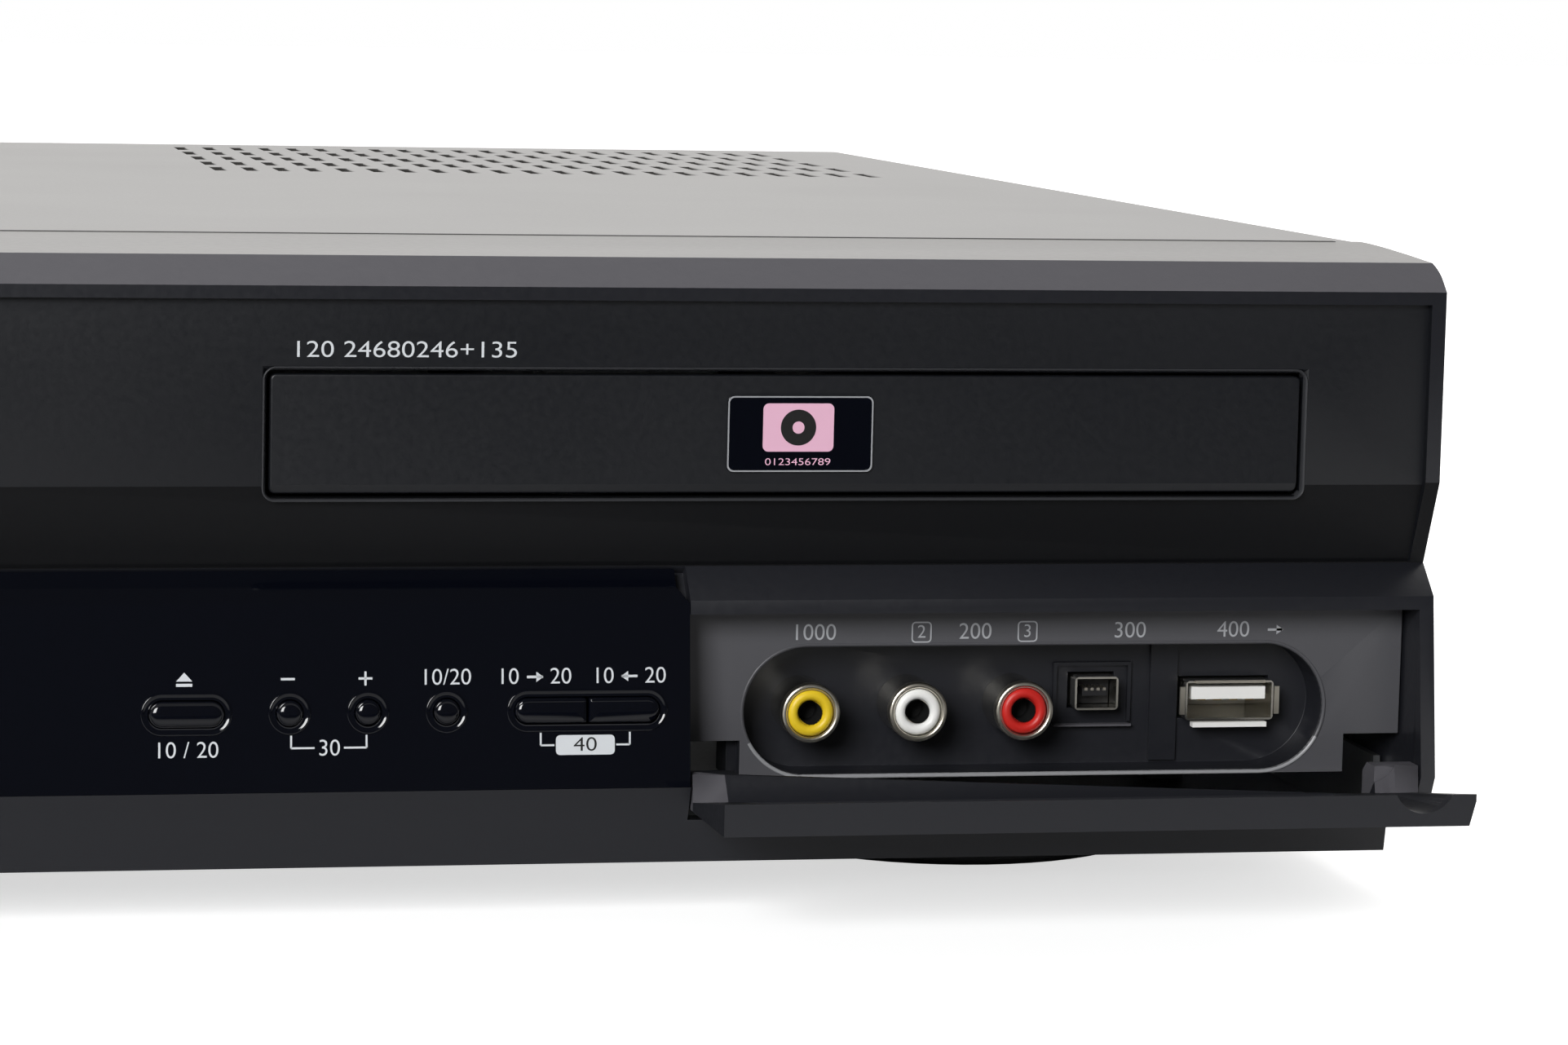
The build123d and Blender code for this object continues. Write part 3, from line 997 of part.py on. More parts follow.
def main_board():
    """Main circuit board on its stand-offs with chips and a finned heat sink."""
    low = SHEET + POST_HEIGHT
    board = block(MAIN_LEFT, MAIN_RIGHT, MAIN_FRONT, REAR_FACE - 16, low, low + BOARD)
    top = low + BOARD
    # Chips: place on the board, width, length and height.
    for x, y, wide, long, high in ((60, 36, 28, 28, 2.2), (110, 32, 18, 12, 1.6),
                                   (110, 54, 18, 12, 1.6), (155, 22, 20, 20, 2.0),
                                   (140, 86, 14, 30, 12.0)):
        x, y = MAIN_LEFT + x, MAIN_FRONT + y
        board += block(x - wide / 2, x + wide / 2, y - long / 2, y + long / 2, top, top + high)
    for n in range(6):
        x, y = MAIN_LEFT + 49 + n * 4.4, MAIN_FRONT + 36
        board += block(x, x + 1.4, y - 12, y + 12, top + 2.2, top + 14.0)
    return board


def power_board():
    """Mains board with capacitors and a small heat sink."""
    low = SHEET + POST_HEIGHT
    top = low + BOARD
    board = block(POWER_LEFT, POWER_RIGHT, POWER_FRONT, POWER_REAR, low, top)
    board -= block(INLET_X - INLET_LONG / 2 - 2, INLET_X + INLET_LONG / 2 + 2, POWER_REAR - 6,
                   POWER_REAR + 2, low - THROUGH, top + THROUGH)
    board += sketch_z(Circle(9.0), POWER_LEFT + 32, POWER_FRONT + 24, top, top + 28.0)
    return board + block(POWER_LEFT + 52, POWER_LEFT + 56, POWER_FRONT + 8, POWER_REAR - 10, top,
                         top + 26.0)


def transformer():
    """Wound transformer: core frame around a taped coil."""
    low = SHEET + POST_HEIGHT + BOARD
    x, y = POWER_LEFT + 82, POWER_FRONT + 32
    core = block(x - 16, x + 16, y - 14, y + 14, low + 2, low + 26)
    core -= block(x - 11, x + 11, y - 15, y + 15, low + 7, low + 21)
    coil = sketch_y(RectangleRounded(21.8, 13.8, 3.0), x, low + 14, y - 18, y + 18)
    foot = block(x - 12, x + 12, y - 16, y + 16, low, low + 2)
    return core + coil + foot


# --- write every piece --------------------------------------------------------------------
def main():
    os.makedirs("parts", exist_ok=True)
    save("top_cover", top_cover())
    save("base_chassis", base_chassis())
    save("rear_panel", rear_panel())
    save("front_panel", front_panel())
    save("front_window", front_window())
    save("feet", Compound(children=feet()))
    save("foot_pads", Compound(children=foot_pads()))
    save("case_screws", Compound(children=case_screws()))
    for name, shape in buttons().items():
        save(name, shape)
    save("front_board", front_board())
    save("display_module", display_module())
    save("jack_plate", jack_plate())
    shells = [phono_shell(x, JACK_Z, SHELL_FRONT, FLOOR_FACE - 0.1) for x in JACKS]
    save("jack_shells", Compound(children=shells))
    for name, x in zip(("video_insert", "audio_left_insert", "audio_right_insert"), JACKS):
        save(name, jack_insert(x))
    save("dv_shell", socket_shell(DV_X, DV_Z, DV_SIZE, SOCKET_FRONT, SOCKET_BACK, 0.3))
    save("dv_insert", dv_insert())
    save("usb_shell", socket_shell(USB_X, USB_Z, USB_SIZE, SOCKET_FRONT, SOCKET_BACK, 0.3))
    save("usb_tongue", usb_tongue())
    save("jack_board", jack_board())
    save("jack_door", jack_door())
    save("tray_door", tray_door())
    save("badge_plate", badge_plate())
    save("disc_tray", disc_tray())
    save("tray_gear", tray_gear())
    save("drive_chassis", drive_chassis())
    save("guide_rods", Compound(children=guide_rods()))
    save("pickup_sled", pickup_sled())
    save("turntable", turntable())
    save("clamp_bridge", clamp_bridge())
    save("clamp_disc", clamp_disc())
    save("cassette_flap", cassette_flap())
    save("deck_chassis", deck_chassis())
    save("holder_carrier", holder_carrier())
    save("cassette_holder", cassette_holder())
    save("drum_base", drum_base())
    save("head_drum", head_drum())
    save("supply_reel", reel(FLAP_X - REEL_HALF))
    save("takeup_reel", reel(FLAP_X + REEL_HALF))
    save("capstan", capstan())
    save("pinch_arm", pinch_arm())
    save("scart_sockets", Compound(children=scart_sockets()))
    save("rear_jack_block", rear_jack_block())
    save("rear_jack_shells", Compound(children=rear_jack_shells()))
    save("tuner_module", tuner_module())
    save("power_inlet", power_inlet())
    save("main_board", main_board())
    save("power_board", power_board())
    save("transformer", transformer())


main()
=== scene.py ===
"""Low home disc and tape recorder: black steel case, moulded front, open door over the sockets."""

import json
import math

import bmesh
import bpy
import numpy as np
from mathutils import Euler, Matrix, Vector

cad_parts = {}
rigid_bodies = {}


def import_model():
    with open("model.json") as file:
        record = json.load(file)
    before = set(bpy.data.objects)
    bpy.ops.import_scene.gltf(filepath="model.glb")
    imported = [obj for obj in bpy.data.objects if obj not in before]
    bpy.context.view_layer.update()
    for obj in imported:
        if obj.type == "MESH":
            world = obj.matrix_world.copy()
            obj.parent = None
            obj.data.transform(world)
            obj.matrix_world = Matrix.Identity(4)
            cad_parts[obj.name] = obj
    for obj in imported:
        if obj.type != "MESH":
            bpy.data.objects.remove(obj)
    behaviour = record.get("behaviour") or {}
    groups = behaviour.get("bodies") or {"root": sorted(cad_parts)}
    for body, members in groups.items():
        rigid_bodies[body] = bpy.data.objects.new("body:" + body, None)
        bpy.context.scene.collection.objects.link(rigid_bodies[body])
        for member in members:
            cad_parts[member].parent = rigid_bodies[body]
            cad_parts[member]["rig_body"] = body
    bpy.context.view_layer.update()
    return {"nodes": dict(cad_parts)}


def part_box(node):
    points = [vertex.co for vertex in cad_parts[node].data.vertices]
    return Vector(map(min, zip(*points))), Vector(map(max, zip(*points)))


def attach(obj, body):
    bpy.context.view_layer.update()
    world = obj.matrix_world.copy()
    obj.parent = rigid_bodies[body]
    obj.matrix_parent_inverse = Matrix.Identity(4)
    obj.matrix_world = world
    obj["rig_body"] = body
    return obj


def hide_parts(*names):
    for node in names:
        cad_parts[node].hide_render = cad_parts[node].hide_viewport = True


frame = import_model()
scene = bpy.context.scene


# --- camera -------------------------------------------------------------------------------
# The photograph is a close crop of the right half, so the lens is shifted to the left part
# of a wider view. The camera stands a little above the top and turns slightly to the right.
LENS_PER_SENSOR = 2.551
camera = bpy.data.objects.new("camera", bpy.data.cameras.new("camera"))
scene.collection.objects.link(camera)
camera.location = (-0.0023, -0.702, 0.1274)
camera.rotation_euler = Euler((1.4792, -0.0175, -0.1556), "XYZ")
camera.data.sensor_width = 36.0
camera.data.lens = camera.data.sensor_width * LENS_PER_SENSOR
camera.data.shift_x, camera.data.shift_y = 0.17, -0.10
camera.data.clip_start, camera.data.clip_end = 0.01, 50.0
scene.camera = camera
scene.view_settings.view_transform = "Standard"


# --- light --------------------------------------------------------------------------------
# White room behind and above the object and dark on the camera's side, so the top shines
# pale and the front stays black. The camera itself sees plain white.
def ramp(tree, source, low, high, low_value, high_value, smooth=False):
    """Map Range node: source from low..high to low_value..high_value."""
    node = tree.nodes.new("ShaderNodeMapRange")
    node.interpolation_type = "SMOOTHSTEP" if smooth else "LINEAR"
    for socket, value in (("From Min", low), ("From Max", high), ("To Min", low_value),
                          ("To Max", high_value)):
        node.inputs[socket].default_value = value
    tree.links.new(source, node.inputs["Value"])
    return node.outputs["Result"]


def camera_switch(tree, others, to_camera, output):
    """Shows one shader to the camera and another to every other ray."""
    path = tree.nodes.new("ShaderNodeLightPath")
    mix = tree.nodes.new("ShaderNodeMixShader")
    tree.links.new(path.outputs["Is Camera Ray"], mix.inputs[0])
    tree.links.new(others, mix.inputs[1])
    tree.links.new(to_camera, mix.inputs[2])
    tree.links.new(mix.outputs[0], output.inputs[0])


def depth_of(tree, source):
    """The Y part of a vector."""
    split = tree.nodes.new("ShaderNodeSeparateXYZ")
    tree.links.new(source, split.inputs[0])
    return split.outputs["Y"]


world = bpy.data.worlds.new("room")
scene.world = world
world.use_nodes = True
tree = world.node_tree
tree.nodes.clear()
direction = tree.nodes.new("ShaderNodeTexCoord").outputs["Generated"]
room = tree.nodes.new("ShaderNodeBackground")
room.inputs["Color"].default_value = (1.0, 0.985, 0.97, 1)
room_strength = ramp(tree, depth_of(tree, direction), -0.06, 0.42, 0.06, 1.35, smooth=True)
tree.links.new(room_strength, room.inputs["Strength"])
white = tree.nodes.new("ShaderNodeBackground")
white.inputs["Color"].default_value = (1, 1, 1, 1)
white.inputs["Strength"].default_value = 1.0
camera_switch(tree, room.outputs[0], white.outputs[0], tree.nodes.new("ShaderNodeOutputWorld"))


def area_light(name, location, target, size, watts):
    """Square soft light that looks at a point."""
    light = bpy.data.lights.new(name, "AREA")
    light.shape, light.size, light.energy = "SQUARE", size, watts
    obj = bpy.data.objects.new(name, light)
    scene.collection.objects.link(obj)
    obj.location = location
    aim = np.array(target, float) - np.array(location, float)
    tilt = math.atan2(math.hypot(*aim[:2]), -aim[2])
    obj.rotation_euler = Euler((tilt, 0, math.atan2(-aim[0], aim[1])), "XYZ")


area_light("top_back", (0.1, 1.0, 1.5), (0.05, 0.0, 0.0), 1.2, 18.0)
area_light("front_left", (-0.75, -1.5, 0.75), (0.05, -0.1, 0.05), 0.7, 28.0)


# --- floor --------------------------------------------------------------------------------
# Pale floor, bright enough to read as white away from the object's shadow. To other rays it
# is dull grey, and darker in front of the object, so the front doesn't mirror a white sheet.
FLOOR_HALF = 9.0
floor_mesh = bpy.data.meshes.new("floor")
floor_mesh.from_pydata([(x * FLOOR_HALF, y * FLOOR_HALF, 0.0)
                        for x, y in ((-1, -1), (1, -1), (1, 1), (-1, 1))], [], [(0, 1, 2, 3)])
floor = bpy.data.objects.new("floor", floor_mesh)
scene.collection.objects.link(floor)
paper = bpy.data.materials.new("paper")
paper.use_nodes = True
tree = paper.node_tree
sheet = tree.nodes["Principled BSDF"]
for socket, value in (("Base Color", (0.86, 0.86, 0.86, 1)), ("Roughness", 0.9),
                      ("Specular IOR Level", 0.1), ("Emission Color", (1, 1, 1, 1)),
                      ("Emission Strength", 0.65)):
    sheet.inputs[socket].default_value = value
grey = tree.nodes.new("ShaderNodeBsdfDiffuse")
position = tree.nodes.new("ShaderNodeNewGeometry").outputs["Position"]
floor_grey = ramp(tree, depth_of(tree, position), -0.42, -0.22, 0.02, 0.75)
tree.links.new(floor_grey, grey.inputs["Color"])
camera_switch(tree, grey.outputs[0], sheet.outputs[0], tree.nodes["Material Output"])
floor_mesh.materials.append(paper)


# --- steel pan, rear panel, frames --------------------------------------------------------
# Bent zinc-plated sheet: the pan, the rear panel, the deck's frame and its holder's carrier,
# the bridge over the disc, the pinch arm and the tuner's can. They show as they were built.
def linear(r, g, b):
    """8-bit display colour to linear."""
    values = np.array((r, g, b)) / 255
    low, high = values / 12.92, ((values + 0.055) / 1.055) ** 2.4
    return (*np.where(values <= 0.04045, low, high), 1.0)


def material(name, colour, rough, metal=0.0, grain=900.0, spread=0.06, bump=0.0, ior=1.5):
    """Finish whose roughness wanders by spread with a fine and a broad noise over object
    coordinates, and whose surface may have a fine grain."""
    made = bpy.data.materials.new(name)
    made.use_nodes = True
    tree = made.node_tree
    nodes, links = tree.nodes, tree.links
    shader = nodes["Principled BSDF"]
    for socket, value in (("Base Color", linear(*colour)), ("Metallic", metal), ("IOR", ior)):
        shader.inputs[socket].default_value = value
    coords = nodes.new("ShaderNodeTexCoord").outputs["Object"]
    fine, broad = nodes.new("ShaderNodeTexNoise"), nodes.new("ShaderNodeTexNoise")
    for noise, scale in ((fine, grain), (broad, 18.0)):
        noise.inputs["Scale"].default_value = scale
        links.new(coords, noise.inputs["Vector"])
    fine.inputs["Detail"].default_value = 3.0
    blend = nodes.new("ShaderNodeMath")
    blend.operation = "ADD"
    links.new(fine.outputs["Fac"], blend.inputs[0])
    links.new(broad.outputs["Fac"], blend.inputs[1])
    least = max(rough - spread, 0.02)
    level = ramp(tree, blend.outputs[0], 0.6, 1.4, least, rough + spread)
    links.new(level, shader.inputs["Roughness"])
    if bump:
        relief = nodes.new("ShaderNodeBump")
        relief.inputs["Strength"].default_value = bump
        relief.inputs["Distance"].default_value = 0.00008
        links.new(fine.outputs["Fac"], relief.inputs["Height"])
        links.new(relief.outputs["Normal"], shader.inputs["Normal"])
    return made


def dress(made, *nodes):
    """Gives nodes their finish; their shape stays."""
    for node in nodes:
        mesh = frame["nodes"][node].data
        mesh.materials.clear()
        mesh.materials.append(made)


ZINC = material("zinc_steel", (168, 170, 172), 0.36, metal=1.0)
dress(ZINC, "base_chassis", "rear_panel", "tuner_module", "deck_chassis", "holder_carrier",
      "pinch_arm", "guide_rods", "clamp_bridge")


# --- boards and power supply --------------------------------------------------------------
# Green circuit boards with their parts as plain blocks, a wound coil, the display's glass.
BOARD_GREEN = material("board_green", (26, 74, 44), 0.45)
COIL_TAPE = material("coil_tape", (186, 150, 52), 0.5)
DISPLAY_GLASS = material("display_glass", (10, 14, 16), 0.12)
dress(BOARD_GREEN, "front_board", "jack_board", "main_board", "power_board")
dress(COIL_TAPE, "transformer")
dress(DISPLAY_GLASS, "display_module")


# --- skins for the pieces that show -------------------------------------------------------
# A moulded or bent piece has no knife edges: its skin is the piece with every edge over the
# given angle rounded off. It stands for the node. First the round feet on rubber pads.
EDGE_ANGLE = 32


def finish(obj, made, body):
    """Gives a new piece its finish and its body."""
    obj.data.materials.clear()
    obj.data.materials.append(made)
    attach(obj, body)
    return obj


def rounded(made, width, *nodes):
    """Merged copies of nodes with two-step bevels of the given width in mm, in their place."""
    for node in nodes:
        dress(made, node)
        mesh = frame["nodes"][node].data.copy()
        bm = bmesh.new()
        bm.from_mesh(mesh)
        bmesh.ops.remove_doubles(bm, verts=bm.verts, dist=1e-6)
        bmesh.ops.dissolve_limit(bm, angle_limit=math.radians(0.5), verts=bm.verts,
                                 edges=bm.edges)
        bmesh.ops.recalc_face_normals(bm, faces=bm.faces)
        bm.to_mesh(mesh)
        bm.free()
        mesh.polygons.foreach_set("use_smooth", np.ones(len(mesh.polygons), bool))
        mesh.set_sharp_from_angle(angle=math.radians(EDGE_ANGLE))
        obj = bpy.data.objects.new(node + "_skin", mesh)
        scene.collection.objects.link(obj)
        bevel = obj.modifiers.new("bevel", "BEVEL")
        bevel.width, bevel.segments = width / 1000, 2
        bevel.limit_method, bevel.angle_limit = "ANGLE", math.radians(EDGE_ANGLE)
        bevel.harden_normals = True
        finish(obj, made, frame["nodes"][node]["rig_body"])
        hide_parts(node)


DARK_PLASTIC = material("dark_plastic", (30, 30, 32), 0.5, bump=0.2)
RUBBER = material("rubber", (24, 24, 24), 0.8, bump=0.4)
rounded(DARK_PLASTIC, 1.2, "feet")
dress(RUBBER, "foot_pads")


# --- tape deck ----------------------------------------------------------------------------
# Sheet holder with rolled edges, turned drum on its base, moulded reels, brass capstan.
GREY_PLASTIC = material("grey_plastic", (64, 64, 67), 0.45, bump=0.2)
BRASS = material("brass", (190, 156, 84), 0.3, metal=1.0)
DRUM_METAL = material("drum_metal", (196, 198, 202), 0.22, metal=1.0)
rounded(ZINC, 0.3, "cassette_holder")
dress(DRUM_METAL, "drum_base", "head_drum")
dress(GREY_PLASTIC, "supply_reel", "takeup_reel")
dress(BRASS, "capstan")


# --- disc drive ---------------------------------------------------------------------------
# Moulded tray with two disc wells, on a grey frame with a white gear under its rack; the
# pickup runs on two steel rods, and the disc is held between the turntable and the clamp.
WHITE_PLASTIC = material("white_plastic", (250, 250, 247), 0.4)
rounded(DARK_PLASTIC, 0.3, "disc_tray")
dress(GREY_PLASTIC, "drive_chassis", "turntable")
dress(DARK_PLASTIC, "pickup_sled")
dress(WHITE_PLASTIC, "tray_gear", "clamp_disc")


# --- cover --------------------------------------------------------------------------------
# One bent sheet of steel in satin black, with rows of vents, held by plated screws. A dark
# strip of painted shadow, laid a hair above its top, stands for the gap where it tucks in behind
# the front moulding.
FRONT_MM, FOOT_MM = -166.85, 8.0      # front plane and underside of the pan, in the frame


def metres(points):
    """Case coordinates in mm (x from the middle, y back from the front plane, z up from the
    underside of the pan) to frame coordinates in metres."""
    return (np.asarray(points, float).reshape(-1, 3) + (0.0, FRONT_MM, FOOT_MM)) / 1000.0


def case_mm(places):
    """Frame coordinates in metres, in single precision as meshes hold them, to case
    coordinates in mm."""
    shift = np.float32((0.0, FRONT_MM, FOOT_MM))
    return (np.asarray(places, np.float32) * np.float32(1000) - shift).astype(float)


def surface(name, points, faces, made, slot, body="case", sharp=35):
    """New piece from case coordinates: outward faces, smooth but for edges over an angle."""
    mesh = bpy.data.meshes.new(name)
    mesh.from_pydata(metres(points).tolist(), [], faces)
    mesh.validate()
    bm = bmesh.new()
    bm.from_mesh(mesh)
    bmesh.ops.recalc_face_normals(bm, faces=bm.faces)
    bm.to_mesh(mesh)
    bm.free()
    mesh.polygons.foreach_set("use_smooth", np.ones(len(mesh.polygons), bool))
    mesh.set_sharp_from_angle(angle=math.radians(sharp))
    obj = bpy.data.objects.new(name, mesh)
    scene.collection.objects.link(obj)
    return finish(obj, made, body)


def blocks(name, spans, made, slot, body="case"):
    """Plain blocks in one piece. Each span is x0, x1, y0, y1, z0, z1; the bits of a corner's
    number pick its x, y and z, and sides lists the corners of the six faces."""
    spans = np.asarray(spans, float).reshape(-1, 3, 2)
    number = np.arange(8)
    picks = number & 1, number >> 1 & 1, number >> 2 & 1
    points = np.stack([spans[:, axis][:, pick] for axis, pick in enumerate(picks)], -1)
    sides = np.array(((0, 2, 3, 1), (4, 5, 7, 6), (0, 1, 5, 4), (2, 6, 7, 3), (0, 4, 6, 2),
                      (1, 3, 7, 5)))
    faces = (sides + 8 * np.arange(len(spans))[:, None, None]).reshape(-1, 4).tolist()
    return surface(name, points, faces, made, slot, body)


BLACK_PAINT = material("black_paint", (62, 60, 58), 0.36, grain=1500.0, spread=0.015, bump=0.3)
NICKEL = material("nickel", (206, 203, 194), 0.2, metal=1.0, spread=0.05)
# Near-black: painted shade in the socket throats and in the cover's gap, and black ink for the
# badge's disc and the copy number.
SHADE_AND_BLACK_INK = material("painted_shade_and_black_ink", (4, 4, 4), 0.7)
rounded(BLACK_PAINT, 0.25, "top_cover")
rounded(NICKEL, 0.25, "case_screws")
# Strip of painted shadow along the gap behind the front moulding.
SHADOW_STRIP_HALF = 207.5
SHADOW_STRIP_LOW, SHADOW_STRIP_HIGH = 85.9, 86.03         # a hair above the cover's top at 86
blocks("cover_gap_painted_shadow", [(-SHADOW_STRIP_HALF, SHADOW_STRIP_HALF, 24.6, 26.0, SHADOW_STRIP_LOW, SHADOW_STRIP_HIGH)], SHADE_AND_BLACK_INK,
       "dark_plastic")


# --- front moulding and tape flap ---------------------------------------------------------
# One satin black moulding in lit and shaded copies of its satin. Its top lies in the light and the
# sloped band under it catches the ceiling, both painted lighter as painted light; the sunken
# fascia is duller, and the fold below it and the side walls are darkest, all painted shade. The
# tape flap is all in the fascia's painted shade.
def light_and_shade_zones(node, lit_and_shaded_copies, pick):
    """Lit and shaded copies of a skin's own satin, painted light and painted shade, for parts of
    one skin. pick takes the faces' middles x, y, z in case coordinates and their normals, and
    gives each face's number in the list, 0 for its own."""
    mesh = bpy.data.objects[node + "_skin"].data
    for made in lit_and_shaded_copies:
        mesh.materials.append(made)
    middle, normal = (np.empty((len(mesh.polygons), 3), np.float32) for _ in range(2))
    mesh.polygons.foreach_get("center", middle.ravel())
    mesh.polygons.foreach_get("normal", normal.ravel())
    x, y, z = case_mm(middle).T
    mesh.polygons.foreach_set("material_index", pick(x, y, z, normal).astype(np.int32))


BLACK_SATIN = material("black_satin_plastic", (31, 32, 37), 0.36, bump=0.25)
# Lit and shaded copies of the black satin by place: painted light on the top and the band, painted
# shade on the fascia, the lower slope and the side walls.
TOP_EDGE_LIT = material("top_edge_painted_light", (78, 76, 74), 0.36, spread=0.015, bump=0.25)
BAND_LIT = material("band_painted_light", (88, 87, 92), 0.40, bump=0.25)
FASCIA_SHADED = material("fascia_painted_shade", (16, 18, 23), 0.44, bump=0.25)
SLOPE_SHADED = material("lower_slope_painted_shade", (8, 9, 12), 0.55, bump=0.25, ior=1.3)
CHEEK_SHADED = material("side_wall_painted_shade", (9, 9, 11), 0.6, bump=0.25)
TOP_FROM, BAND_FROM = 84.0, 79.5          # heights over which the top and the band begin
CREASE, VALLEY = 52.9, 41.0               # the fascia folds at one and ends at the other
FASCIA_HALF, WALL_FROM = 212.95, 214.0    # half widths of the fascia and to the side walls


def front_light_and_shade(x, y, z, normal):
    """Number of the painted light and shade copy for each face of the front moulding."""
    sunken = (z > VALLEY) & (z < BAND_FROM) & (y > 0.5) & (abs(x) < FASCIA_HALF)
    return np.select([(abs(normal[:, 0]) > 0.7) & (abs(x) > WALL_FROM) & (z > VALLEY),
                      (z > TOP_FROM) & (normal[:, 2] > 0.8),
                      (z > BAND_FROM) & (normal[:, 2] > 0.3) & (abs(normal[:, 0]) < 0.5),
                      sunken & (z < CREASE), sunken], [5, 1, 2, 4, 3], 0)


def everywhere(x, y, z, normal):
    """The first copy in the list for every face; here always the fascia's painted shade."""
    return np.ones(len(x))


rounded(BLACK_SATIN, 0.35, "front_panel")
light_and_shade_zones("front_panel", (TOP_EDGE_LIT, BAND_LIT, FASCIA_SHADED, SLOPE_SHADED, CHEEK_SHADED), front_light_and_shade)
rounded(BLACK_SATIN, 0.4, "cassette_flap")
light_and_shade_zones("cassette_flap", (FASCIA_SHADED,), everywhere)


# --- prints on the fascia -----------------------------------------------------------------
# White ink printed on the moulding, here a thin piece laid just off its face. It is a row of
# plain numbers above the tray.
PRINT = material("print_ink", (214, 218, 222), 0.55)


def text_shape(text, x, z, height, squeeze=1.0):
    """Flat points (x, z) and faces of a word in the built-in font, drawn slightly thin."""
    curve = bpy.data.curves.new("word", "FONT")
    curve.body, curve.size = text, height / 0.72
    curve.align_x, curve.align_y = "CENTER", "CENTER"
    curve.offset = -0.006 * height
    obj = bpy.data.objects.new("word", curve)
    scene.collection.objects.link(obj)
    depsgraph = bpy.context.evaluated_depsgraph_get()
    flat = bpy.data.meshes.new_from_object(obj.evaluated_get(depsgraph))
    places = np.empty((len(flat.vertices), 3), np.float32)
    flat.vertices.foreach_get("co", places.ravel())
    faces = [tuple(polygon.vertices) for polygon in flat.polygons]
    bpy.data.objects.remove(obj)
    bpy.data.curves.remove(curve)
    bpy.data.meshes.remove(flat)
    return places[:, :2] * (squeeze, 1.0) + (x, z), faces


def prints(name, items, face, ink, slot, body="case", lift=0.04):
    """Ink piece from words (text, x, z, height, squeeze) and outlines of points (x, z): each
    point lies lift in front of the face's depth at its height."""
    points, faces, count = [], [], 0
    for item in items:
        if isinstance(item[0], str):
            flat, found = text_shape(*item)
        else:
            flat, found = np.asarray(item, float), [range(len(item))]
        points.append(flat)
        faces += [tuple(count + corner for corner in one) for one in found]
        count += len(flat)
    x, z = np.concatenate(points).T
    return surface(name, np.stack([x, face(z) - lift, z], 1), faces, ink, slot, body)


def fascia_y(z):
    """Depth of the sunken fascia above its crease."""
    return np.full_like(z, 1.2)


prints("title_print", [("120 24680246+135", 67.3, 71.6, 2.3, 1.24)], fascia_y, PRINT,
       "white_plastic")


# --- tray front and its opening -----------------------------------------------------------
# Moulded front of the disc tray, all in the fascia's shaded copy of the satin as painted shade,
# and a narrow polished bevel with round corners that leads from the fascia into the slit round it,
# in a paler copy of the satin as a painted highlight.
def round_box(x, z, wide, high, radius, steps=6):
    """Outline of a rectangle with round corners: each corner is a quarter circle about a
    point one radius in from both sides."""
    signs = np.array(((1, 1), (-1, 1), (-1, -1), (1, -1)))
    turn = np.radians(90 * np.arange(4)[:, None] + np.linspace(0, 90, steps + 1))
    xs = x + signs[:, :1] * (wide / 2 - radius) + radius * np.cos(turn)
    zs = z + signs[:, 1:] * (high / 2 - radius) + radius * np.sin(turn)
    return np.stack([xs.ravel(), zs.ravel()], 1)


def upright(outline, depth):
    """Points of an outline (x, z) at a depth, or at a depth for each point."""
    return np.stack([outline[:, 0], np.broadcast_to(depth, len(outline)), outline[:, 1]], 1)


def skin_over(rows):
    """Skin over closed outlines of n points: a face joins points i and i + 1 of one outline
    to the same points of the next."""
    rows = np.asarray(rows, float)
    count, n = rows.shape[:2]
    row, i = np.meshgrid(np.arange(count - 1) * n, np.arange(n), indexing="ij")
    j = (i + 1) % n
    faces = np.stack([row + i, row + j, row + n + j, row + n + i], -1).reshape(-1, 4).tolist()
    return rows.reshape(-1, 3), faces


SURROUND_HIGHLIGHT = material("surround_painted_highlight", (58, 59, 62), 0.32, bump=0.1)
rounded(BLACK_SATIN, 0.3, "tray_door")
# The tray front takes the fascia's shaded copy of the satin: painted shade.
light_and_shade_zones("tray_door", (FASCIA_SHADED,), everywhere)
TRAY_X, TRAY_Z, TRAY_WIDE, TRAY_TALL = 121.7, 60.1, 145.4, 16.4
# Bevel round the opening: distance out from the tray front, depth, corner radius.
BEVEL = ((1.05, 1.22, 1.8), (1.02, 1.13, 1.8), (0.92, 1.08, 1.7), (0.76, 1.2, 1.5),
         (0.66, 1.6, 1.4), (0.6, 3.2, 1.3))
rows = [upright(round_box(TRAY_X, TRAY_Z, TRAY_WIDE + 2 * out, TRAY_TALL + 2 * out, radius, 10),
                depth) for out, depth, radius in BEVEL]
surface("tray_surround", *skin_over(rows), SURROUND_HIGHLIGHT, "black_satin_plastic", sharp=50)


# --- badge on the tray front --------------------------------------------------------------
# Thin gloss plate with a fine pale frame. A plain disc on a pink field and the ten digits
# fill it.
def pill(long, high, steps=64):
    """Outline of a pill or a circle about the middle, anticlockwise: a circle whose right
    and left halves are moved apart."""
    radius, half = high / 2, max((long - high) / 2, 0)
    turn = np.linspace(0, 2 * math.pi, steps, endpoint=False) + 1e-4
    x = radius * np.cos(turn) + np.where(np.cos(turn) > 0, half, -half)
    return np.stack([x, radius * np.sin(turn)], 1)


BLACK_GLOSS = material("black_gloss", (6, 8, 16), 0.07, spread=0.02)
LINE = material("badge_line", (160, 162, 166), 0.35)
PINK = material("badge_pink", (234, 184, 208), 0.5)
rounded(BLACK_GLOSS, 0.1, "badge_plate")
BADGE_X, BADGE_Z, BADGE_WIDE, BADGE_TALL = 122.4, 60.2, 20.6, 10.6
BADGE_FACE = 1.0
FIELD = np.array((122.1, 61.1))           # middle of the pink field


def badge_y(z):
    """Depth of the badge's face."""
    return np.full_like(z, BADGE_FACE)


